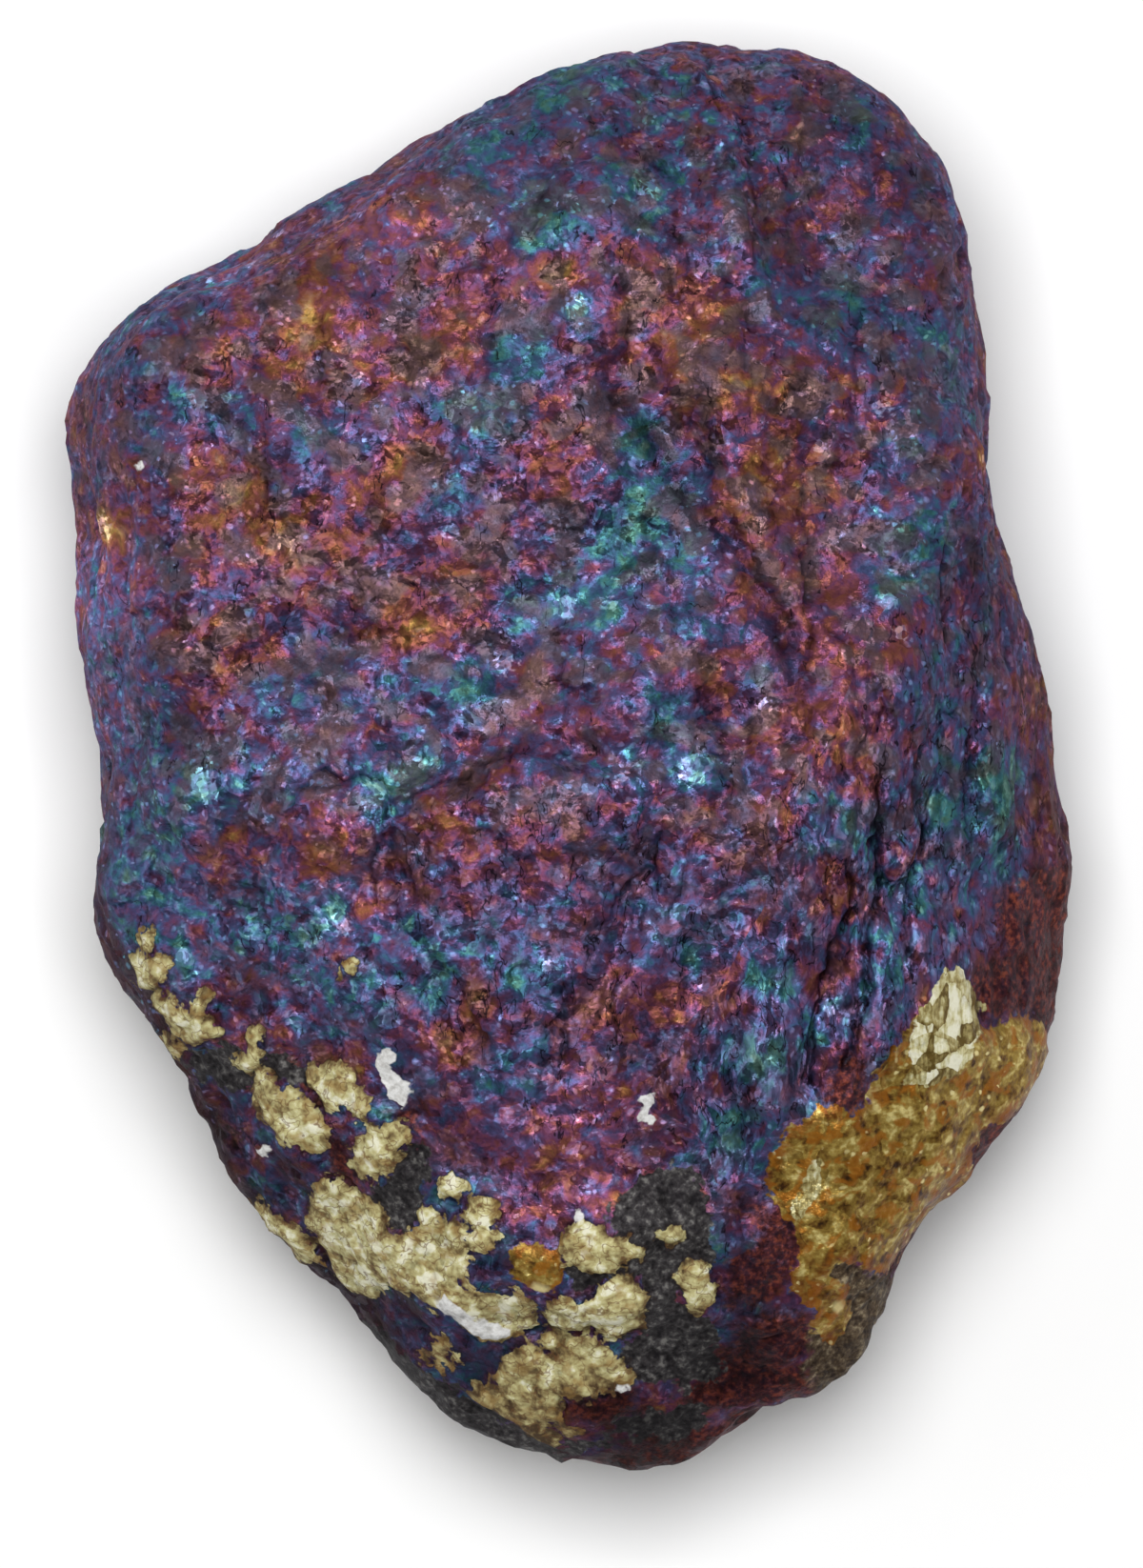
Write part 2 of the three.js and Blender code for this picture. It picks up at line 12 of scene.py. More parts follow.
import bmesh
import bpy
import numpy as np
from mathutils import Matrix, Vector


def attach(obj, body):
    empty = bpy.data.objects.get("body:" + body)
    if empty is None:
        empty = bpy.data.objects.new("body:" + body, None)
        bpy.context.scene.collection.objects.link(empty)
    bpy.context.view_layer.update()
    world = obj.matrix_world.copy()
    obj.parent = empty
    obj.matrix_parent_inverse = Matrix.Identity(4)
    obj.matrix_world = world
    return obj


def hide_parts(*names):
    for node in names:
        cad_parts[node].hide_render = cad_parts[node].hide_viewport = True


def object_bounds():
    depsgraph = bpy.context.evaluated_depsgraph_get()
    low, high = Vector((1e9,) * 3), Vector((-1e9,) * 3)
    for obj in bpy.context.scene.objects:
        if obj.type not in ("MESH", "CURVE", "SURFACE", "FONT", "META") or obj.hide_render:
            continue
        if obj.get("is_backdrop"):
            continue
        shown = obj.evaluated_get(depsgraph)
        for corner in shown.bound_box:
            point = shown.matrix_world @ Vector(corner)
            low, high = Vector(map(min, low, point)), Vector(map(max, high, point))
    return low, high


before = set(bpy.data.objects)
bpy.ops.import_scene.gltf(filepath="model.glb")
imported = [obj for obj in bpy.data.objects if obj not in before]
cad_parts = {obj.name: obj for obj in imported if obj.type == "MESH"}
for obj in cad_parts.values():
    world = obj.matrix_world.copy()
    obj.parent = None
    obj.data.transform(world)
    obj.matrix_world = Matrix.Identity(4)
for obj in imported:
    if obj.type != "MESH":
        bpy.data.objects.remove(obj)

LOG = logging.getLogger("peacock_ore")
MM = 0.001  # one millimetre in metres
TINY = 1e-9

Path = tuple[tuple[float, float], ...]
Band = tuple[float, float]
Triple = tuple[float, float, float]
Colour = tuple[float, float, float, float]
Stops = tuple[tuple[float, Colour], ...]
Socket = bpy.types.NodeSocket


# ---------------------------------------------------------------------------
# Choices
# ---------------------------------------------------------------------------


class Film(Enum):
    """Tones of the tarnish film, in the order in which they follow as the film grows."""

    BRASS = 0.03
    ORANGE = 0.14
    COPPER = 0.25
    ROSE = 0.35
    MAGENTA = 0.43
    PURPLE = 0.50
    VIOLET = 0.58
    INDIGO = 0.65
    BLUE = 0.73
    CYAN = 0.78
    TEAL = 0.84
    OLIVE = 0.95


class Crust(Enum):
    """What else than tarnished ore the surface is made of, from the lowest kind to the topmost."""

    MAROON = "maroon"
    SOOTY = "sooty"
    EARTHY = "earthy"
    BRASS = "brass"
    FLAKE = "flake"
    PALE = "pale"
    CHALK = "chalk"


@dataclass(frozen=True)
class Blotch:
    """A soft patch of one tarnish tone: middle and radius, how strongly it shows, and its light."""

    x: float
    y: float
    radius: float
    weight: float = 1.0
    light: float = 1.0


@dataclass(frozen=True)
class Shade:
    """A soft patch with a factor on what it changes: its middle, radius and factor."""

    x: float
    y: float
    radius: float
    factor: float


@dataclass(frozen=True)
class Spot:
    """A small round patch of crust: its middle, its half sizes and its turn in degrees."""

    x: float
    y: float
    half_x: float
    half_y: float
    turn: float = 0.0


@dataclass(frozen=True)
class Crack:
    """A fine crack along a path of plan points."""

    path: Path
    width: float = 0.22
    depth: float = 0.24


@dataclass(frozen=True)
class Glint:
    """A painted highlight on a large cleavage face: its middle, radius and brightness."""

    x: float
    y: float
    radius: float
    shine: float = 1.0


@dataclass(frozen=True)
class Layer:
    """One layer of soft noise: how far it reaches either way, its features' length and its pattern."""

    reach: float
    size: float
    salt: int


@dataclass(frozen=True)
class Hackle:
    """Broken grains of one size: their size, their height and their pattern."""

    size: float
    height: float
    salt: int


@dataclass(frozen=True)
class UnderCrust:
    """Where a crust shows below the rim: where noise passes a level, sooner at the matrix end."""

    layers: tuple[Layer, ...]
    level: float
    towards_matrix: float = 0.0
    gain: float = 1.6


# ---------------------------------------------------------------------------
# Places seen from above, in millimetres
# ---------------------------------------------------------------------------

# Tarnish patches, by tone.
BLOTCHES = {
    Film.BRASS: (
        Blotch(-23.8, 11.9, 0.9, 2.4, 1.3), Blotch(21.8, 15.4, 0.5, 2.4, 1.5),
    ),
    Film.ORANGE: (
        Blotch(-14.0, 22.8, 1.3, 1.5, 1.1), Blotch(-12.3, 22.6, 1.1, 1.2, 1.1),
        Blotch(-8.2, 20.6, 1.1, 1.2), Blotch(-5.6, 20.5, 1.3, 1.4), Blotch(-8.0, 14.3, 1.3, 1.7, 1.05),
        Blotch(-15.2, 11.2, 1.6, 1.3, 1.12), Blotch(-0.1, 24.9, 1.1, 1.6, 1.05),
        Blotch(6.3, 21.6, 0.9, 1.6, 1.1), Blotch(9.7, 18.9, 1.1, 1.4),
        Blotch(10.9, 14.8, 1.4, 1.9, 1.1), Blotch(12.8, 13.6, 1.2, 1.5),
        Blotch(25.2, 3.0, 1.4, 1.8, 0.85), Blotch(-1.4, 3.9, 0.7, 1.9, 1.05),
        Blotch(-11.4, -15.8, 0.8, 1.4), Blotch(-4.8, -12.7, 0.8, 1.5, 1.05),
        Blotch(5.6, -12.8, 0.9, 1.5),
    ),
    Film.COPPER: (
        Blotch(-25.6, 17.6, 1.4, 0.9, 0.7), Blotch(-12.8, 26.2, 1.2), Blotch(-15.0, 19.8, 1.5, 0.9),
        Blotch(-10.6, 19.4, 1.1, 1.0, 1.15), Blotch(-19.4, 15.0, 1.2, 1.3, 1.05),
        Blotch(-18.2, 14.0, 0.9, 1.3, 1.05), Blotch(-11.2, 13.0, 1.5, 0.9),
        Blotch(-18.2, 11.0, 1.5, 1.2, 1.05), Blotch(-12.4, 10.0, 1.5, 1.0, 1.05),
        Blotch(-5.6, 9.6, 1.8, 1.0), Blotch(5.6, 22.4, 2.0, 1.7, 1.1),
        Blotch(3.6, 20.8, 1.4, 1.3, 1.05), Blotch(5.8, 18.4, 1.5, 1.3), Blotch(11.8, 18.8, 1.5, 1.1),
        Blotch(-0.4, 15.6, 1.9, 1.2), Blotch(25.6, -2.6, 1.4, 1.8, 0.85), Blotch(-18.0, 5.0, 1.9, 0.9),
        Blotch(-7.6, 6.8, 1.7, 1.4), Blotch(-12.8, -5.1, 1.4, 1.8, 1.05),
        Blotch(-5.9, -3.8, 1.1, 1.7, 1.1), Blotch(7.8, 4.2, 1.2, 1.6),
        Blotch(14.6, 5.6, 1.5, 1.4, 1.05), Blotch(14.6, 0.6, 1.4, 1.5),
        Blotch(24.5, 2.2, 1.4, 1.8, 0.85), Blotch(11.0, -3.0, 1.0, 1.4), Blotch(14.0, -6.0, 0.8, 1.3),
        Blotch(-6.0, -15.0, 1.1, 1.9, 1.1), Blotch(3.2, -12.4, 1.5, 1.2), Blotch(8.0, -12.2, 1.2, 1.1),
        Blotch(7.6, 19.4, 2.6, 0.6), Blotch(15.0, -7.6, 0.8, 1.6, 0.9), Blotch(13.4, 0.6, 2.0, 0.9),
        Blotch(-15.6, 12.4, 4.0, 0.4), Blotch(-10.0, 20.6, 4.0, 0.4),
    ),
    Film.ROSE: (
        Blotch(-7.8, 27.4, 1.7, 1.8, 1.15), Blotch(-13.6, 25.6, 1.6, 1.6), Blotch(-12.8, 24.8, 1.2),
        Blotch(-3.8, 23.6, 1.5, 1.2), Blotch(-18.4, 19.9, 1.3, 1.1, 1.05),
        Blotch(-23.8, 9.7, 0.9, 1.4, 1.1), Blotch(12.0, 28.2, 1.7, 0.9, 0.9),
        Blotch(7.8, 21.0, 1.2, 1.2), Blotch(8.9, 13.0, 1.4, 1.2, 1.05), Blotch(11.0, 11.4, 1.7, 1.5),
        Blotch(12.4, 8.8, 1.7, 1.4), Blotch(4.0, -36.6, 3.6, 1.6), Blotch(-17.5, -4.8, 1.2, 2.0, 1.05),
        Blotch(-6.6, -2.2, 1.2, 1.9, 1.1), Blotch(12.5, 3.6, 1.5, 1.9), Blotch(12.6, 1.4, 1.4, 1.7),
        Blotch(17.0, 6.6, 1.0, 1.8, 1.1), Blotch(25.2, -4.4, 1.3, 1.6, 0.8),
        Blotch(-10.2, -7.6, 0.9, 2.0, 1.1), Blotch(-6.8, -7.4, 0.8, 1.4),
        Blotch(-16.8, -12.4, 1.2, 1.4, 0.8), Blotch(0.8, -19.6, 1.8, 1.5, 1.1),
        Blotch(-18.0, -20.4, 1.5, 1.2, 0.55), Blotch(9.3, -23.6, 0.9, 1.8, 0.8),
        Blotch(12.6, 16.6, 2.6, 1.2, 1.05), Blotch(11.4, 11.0, 2.6, 1.4, 1.1),
        Blotch(14.9, -10.4, 0.8, 1.4, 0.85),
    ),
    Film.MAGENTA: (
        Blotch(-15.4, 27.2, 1.5, 1.6, 1.1), Blotch(-10.0, 27.0, 2.0, 2.6, 1.25),
        Blotch(-16.4, 22.8, 0.9, 1.2, 1.15), Blotch(-22.6, 13.4, 0.9, 1.2, 1.15),
        Blotch(-22.0, 8.8, 1.1, 1.2, 1.1), Blotch(12.5, 33.0, 0.8, 1.3, 1.1),
        Blotch(0.9, 18.2, 1.2, 1.1, 1.05), Blotch(15.0, 18.6, 1.6, 2.4, 1.15),
        Blotch(-18.6, -5.4, 1.0, 2.2, 1.15), Blotch(-23.5, -1.6, 0.9, 1.4),
        Blotch(-13.8, 6.4, 1.8, 0.9), Blotch(0.5, 1.8, 1.7, 0.9), Blotch(10.3, 1.8, 0.8, 1.8, 1.2),
        Blotch(16.4, 2.8, 1.0, 1.3), Blotch(1.2, -1.8, 0.9, 1.4, 1.15), Blotch(-0.8, -4.0, 1.6, 1.3),
        Blotch(-13.8, -14.4, 0.9, 1.3), Blotch(-1.6, -22.2, 1.8, 1.4), Blotch(5.2, -19.8, 1.6, 1.2),
        Blotch(22.8, -20.8, 0.6, 2.0, 1.2), Blotch(13.6, 5.0, 2.8, 1.2, 1.05),
    ),
    Film.PURPLE: (
        Blotch(-8.4, 31.2, 1.6, 1.2), Blotch(-10.6, 24.2, 1.2, 1.1),
        Blotch(-22.0, 19.2, 1.7, 1.0, 0.85), Blotch(0.9, 31.2, 1.3, 1.1),
        Blotch(9.6, 36.0, 1.6, 1.1, 0.9), Blotch(11.6, 30.6, 1.4, 1.1),
        Blotch(18.2, 29.0, 2.2, 1.0, 0.8), Blotch(18.2, 17.4, 1.4, 1.0),
        Blotch(21.4, 10.4, 1.8, 1.0, 0.7), Blotch(-12.6, -28.2, 2.6, 1.6),
        Blotch(-8.6, -5.6, 1.2, 1.0, 0.85), Blotch(21.6, 6.2, 2.0, 1.0, 0.75),
        Blotch(5.6, -5.0, 2.2, 1.0, 0.9), Blotch(-17.6, -11.0, 1.3, 1.2, 0.8),
        Blotch(1.6, -8.0, 2.2, 1.0, 0.9), Blotch(5.6, -16.4, 1.7, 0.9, 0.9),
        Blotch(-14.2, -21.0, 1.4, 1.4, 0.75),
    ),
    Film.VIOLET: (
        Blotch(-17.4, 25.1, 1.3, 1.4, 1.2), Blotch(-8.2, 23.8, 1.2, 1.1, 1.05), Blotch(-20.6, 9.6, 1.3),
        Blotch(2.3, 28.0, 1.2, 1.1), Blotch(9.2, 26.0, 1.2, 1.1), Blotch(16.4, 11.4, 1.3, 1.0),
        Blotch(-8.0, -30.6, 1.8, 1.6), Blotch(-24.2, 8.6, 1.6, 1.6, 1.05),
        Blotch(-23.0, 2.6, 1.6, 1.4, 1.1), Blotch(-19.0, -8.6, 1.2, 2.0, 1.1),
        Blotch(-24.0, 0.4, 1.5, 1.4), Blotch(-15.6, 3.4, 1.6, 1.1), Blotch(-3.0, 4.7, 0.8, 2.0, 1.25),
        Blotch(17.3, -3.6, 1.0, 1.9, 1.1), Blotch(20.4, -4.6, 1.3, 1.1),
        Blotch(18.6, -9.4, 1.2, 1.5, 1.1), Blotch(3.2, -1.1, 1.0, 1.2, 1.15),
        Blotch(-18.6, -8.0, 1.2, 1.6), Blotch(10.0, -29.4, 1.6, 1.5, 0.65),
    ),
    Film.INDIGO: (
        Blotch(-22.8, 21.6, 1.7, 1.4), Blotch(-19.6, 24.0, 1.6, 1.6, 1.1),
        Blotch(-12.2, 29.2, 1.5, 1.3), Blotch(-20.4, 17.0, 1.8, 1.0), Blotch(-4.6, 15.6, 1.4, 1.0),
        Blotch(2.2, 33.2, 1.4), Blotch(8.2, 31.6, 2.0, 1.1, 0.9), Blotch(16.4, 26.0, 1.4, 1.1, 0.95),
        Blotch(15.4, 21.4, 1.5, 1.0), Blotch(-24.0, 5.6, 1.5, 1.6, 1.1),
        Blotch(-21.2, 1.6, 1.7, 1.0, 0.85), Blotch(-19.8, -3.6, 1.7, 1.4),
        Blotch(-18.0, -6.0, 5.0, 0.6), Blotch(-8.0, -9.2, 1.3, 1.3), Blotch(-13.6, -10.8, 1.4, 1.4),
        Blotch(-3.0, -16.4, 1.4, 1.1), Blotch(6.3, -9.4, 1.9, 1.2, 1.1),
        Blotch(16.6, -12.6, 1.1, 1.9, 1.2), Blotch(-15.6, -22.8, 1.2, 1.0, 0.7),
        Blotch(-8.8, -28.6, 1.0, 1.4, 0.72), Blotch(-4.2, -26.6, 1.3, 1.8, 0.85),
        Blotch(-4.6, -31.4, 1.4, 2.0, 0.6), Blotch(16.2, -5.6, 1.6, 0.8, 1.2),
    ),
    Film.BLUE: (
        Blotch(-5.0, 32.0, 1.8, 1.3), Blotch(-17.0, 17.4, 1.4, 0.9, 0.9), Blotch(-13.0, 17.0, 1.3, 0.9),
        Blotch(-13.9, 14.7, 1.2, 1.4), Blotch(-1.4, 32.8, 1.3, 1.1), Blotch(-1.3, 29.7, 1.1, 1.2),
        Blotch(5.6, 33.9, 1.5, 1.3), Blotch(15.2, 33.4, 1.4, 0.9, 0.9), Blotch(10.4, 24.2, 1.1, 1.2),
        Blotch(13.6, 23.2, 1.5, 1.1), Blotch(19.6, 21.4, 1.3, 1.2), Blotch(20.4, 18.4, 1.1, 1.3),
        Blotch(17.1, 15.6, 0.9, 1.3, 1.1), Blotch(5.6, 11.0, 1.2, 1.4, 0.95),
        Blotch(-21.0, -3.4, 2.0, 2.0, 1.1), Blotch(-21.6, -8.0, 2.0, 2.0, 1.1),
        Blotch(-12.5, 5.4, 1.0, 1.1), Blotch(-8.2, 3.8, 1.1, 1.2), Blotch(-1.8, 7.6, 0.9, 1.4),
        Blotch(7.4, 6.4, 1.3, 0.9), Blotch(18.8, 2.6, 1.9, 1.1, 0.9),
        Blotch(17.6, -7.2, 0.9, 1.5, 1.15), Blotch(-23.6, -5.0, 1.5, 1.8, 1.1),
        Blotch(-16.0, -8.8, 1.4, 1.4), Blotch(-12.0, -8.2, 1.5, 2.0, 1.2), Blotch(-6.0, -9.5, 0.9, 1.4),
        Blotch(-20.0, -10.6, 1.0, 1.6, 1.2), Blotch(-11.2, -12.8, 1.7, 1.4),
        Blotch(-1.6, -11.2, 1.0, 1.2), Blotch(6.0, -8.8, 1.6, 1.2), Blotch(13.6, -13.8, 0.8, 1.8, 1.2),
        Blotch(8.0, -25.6, 0.6, 1.8), Blotch(22.3, -19.9, 0.8, 2.0, 1.3),
        Blotch(2.0, -9.5, 4.5, 0.22, 1.06), Blotch(2.0, 3.0, 5.0, 0.06, 1.06),
        Blotch(17.2, -9.0, 2.0, 0.9, 1.25),
    ),
    Film.CYAN: (
        Blotch(10.6, -12.0, 1.2, 1.8, 1.15), Blotch(10.5, -15.2, 1.4, 1.9, 1.2),
        Blotch(8.8, -19.8, 1.5, 1.2, 1.1),
    ),
    Film.TEAL: (
        Blotch(-5.2, 18.3, 1.3, 1.9, 1.15), Blotch(-3.0, 17.6, 1.1, 1.4),
        Blotch(-6.4, 13.4, 1.1, 1.1, 0.9), Blotch(0.2, 35.0, 1.8, 1.3, 0.9),
        Blotch(0.7, 23.2, 0.8, 1.4, 1.1), Blotch(4.1, 29.2, 1.2, 2.0, 1.1),
        Blotch(4.4, 16.4, 1.5, 1.2, 0.85), Blotch(4.8, 13.2, 1.5, 1.5, 0.9),
        Blotch(2.6, 11.0, 1.4, 1.6, 1.1), Blotch(18.8, 11.2, 1.5, 1.1, 0.85),
        Blotch(-5.4, 3.6, 1.3, 1.0), Blotch(-18.6, -1.4, 1.1, 2.2, 1.2),
        Blotch(-9.4, -1.8, 1.0, 2.2, 1.25), Blotch(-7.4, -0.9, 0.7, 2.0, 1.15),
        Blotch(0.1, 7.8, 1.1, 2.2, 1.25), Blotch(2.3, 8.0, 1.0, 1.6, 1.1), Blotch(5.1, 2.2, 1.1, 1.1),
        Blotch(10.5, 4.0, 0.8, 1.8, 1.1), Blotch(17.0, 8.9, 1.0, 1.5, 1.1),
        Blotch(22.4, -1.6, 1.3, 1.3, 0.9), Blotch(22.6, -4.6, 1.4, 1.5, 0.95),
        Blotch(6.8, -0.8, 1.0, 1.5, 1.2), Blotch(13.8, -3.2, 1.5, 1.2, 0.9),
        Blotch(-6.3, -12.5, 0.9, 1.3), Blotch(20.6, -2.6, 2.2, 0.9, 0.95),
    ),
    Film.OLIVE: (
        Blotch(-2.5, 20.6, 1.2, 0.9), Blotch(-0.7, 27.4, 1.2, 1.5),
    ),
}

# Patches that are lighter or darker than the surface round them: partly the tarnish's own tone,
# partly painted light and shade, as along the crease, on the left rim and towards the foot.
SHADES = (
    Shade(-21.5, 1.0, 1.8, 0.75), Shade(-16.8, -12.2, 1.8, 0.6), Shade(-19.8, -15.4, 2.2, 0.6),
    Shade(-18.0, -19.0, 2.6, 0.5), Shade(-15.4, -22.6, 2.6, 0.55), Shade(-12.4, -20.6, 1.6, 0.6),
    Shade(-12.6, -28.6, 3.2, 0.42), Shade(-8.0, -30.4, 2.8, 0.44), Shade(-8.6, -22.4, 1.6, 0.7),
    Shade(-3.6, -26.4, 1.6, 0.75), Shade(-4.6, -31.4, 2.0, 0.65), Shade(1.0, -28.0, 2.4, 0.7),
    Shade(11.6, -7.0, 2.4, 0.9), Shade(22.2, 9.0, 2.4, 0.75), Shade(24.8, -8.0, 2.6, 1.25),
    Shade(15.0, 31.0, 4.0, 0.85), Shade(8.2, -27.0, 2.0, 0.7), Shade(9.0, -31.4, 3.4, 0.5),
    Shade(2.0, -34.0, 2.6, 0.6), Shade(4.0, -36.8, 4.0, 0.34), Shade(-5.0, -35.0, 3.2, 0.7),
    Shade(14.6, -31.6, 2.4, 0.7), Shade(0.0, -20.0, 4.6, 1.62), Shade(-15.0, -8.0, 7.0, 1.3),
    Shade(2.0, 3.0, 6.0, 1.13), Shade(4.4, 16.4, 1.2, 0.74), Shade(6.2, 14.0, 1.2, 0.68),
    Shade(8.2, 11.4, 1.1, 0.68), Shade(9.8, 9.2, 1.0, 0.7), Shade(10.9, 6.6, 1.0, 0.72),
    Shade(11.6, 3.6, 0.9, 0.85), Shade(13.4, 6.4, 1.8, 1.12), Shade(4.0, 11.6, 2.8, 0.76),
    Shade(0.0, 26.6, 2.8, 0.82), Shade(7.0, 24.6, 2.4, 0.86), Shade(8.0, 29.0, 1.6, 0.88),
    Shade(15.0, 27.0, 2.2, 0.88), Shade(16.0, 12.0, 2.2, 0.86), Shade(-18.0, 13.0, 2.8, 0.8),
    Shade(-14.0, 22.6, 1.8, 0.85), Shade(-5.0, 19.0, 5.0, 0.9), Shade(-12.0, 7.0, 2.2, 1.16),
    Shade(3.0, -2.0, 2.8, 1.12), Shade(4.2, -5.6, 2.0, 1.18), Shade(-10.0, -5.0, 2.0, 1.12),
    Shade(-3.0, 0.4, 2.4, 1.14), Shade(6.0, -10.0, 4.0, 1.1), Shade(12.2, -13.4, 2.4, 1.3),
    Shade(-10.0, 27.6, 2.2, 1.3), Shade(-18.0, 25.4, 2.4, 1.3), Shade(-24.6, 9.0, 3.2, 1.75),
    Shade(-24.0, 2.0, 2.6, 1.3),
)

# Patches whose grains differ more from each other, or less, than elsewhere.
LIVELY = (
    Shade(-15.0, -9.0, 6.0, 1.35), Shade(17.0, -7.0, 3.6, 1.45), Shade(8.0, 32.0, 5.0, 1.65),
    Shade(-9.0, 9.0, 8.0, 0.64), Shade(-4.0, 21.0, 5.0, 0.72), Shade(12.5, 6.0, 5.0, 0.46),
    Shade(-14.0, -21.5, 5.0, 1.5), Shade(-12.0, -29.0, 4.0, 1.5), Shade(15.0, 26.0, 4.0, 0.85),
    Shade(2.0, -9.0, 6.0, 0.8), Shade(2.0, 3.0, 5.0, 0.88),
)

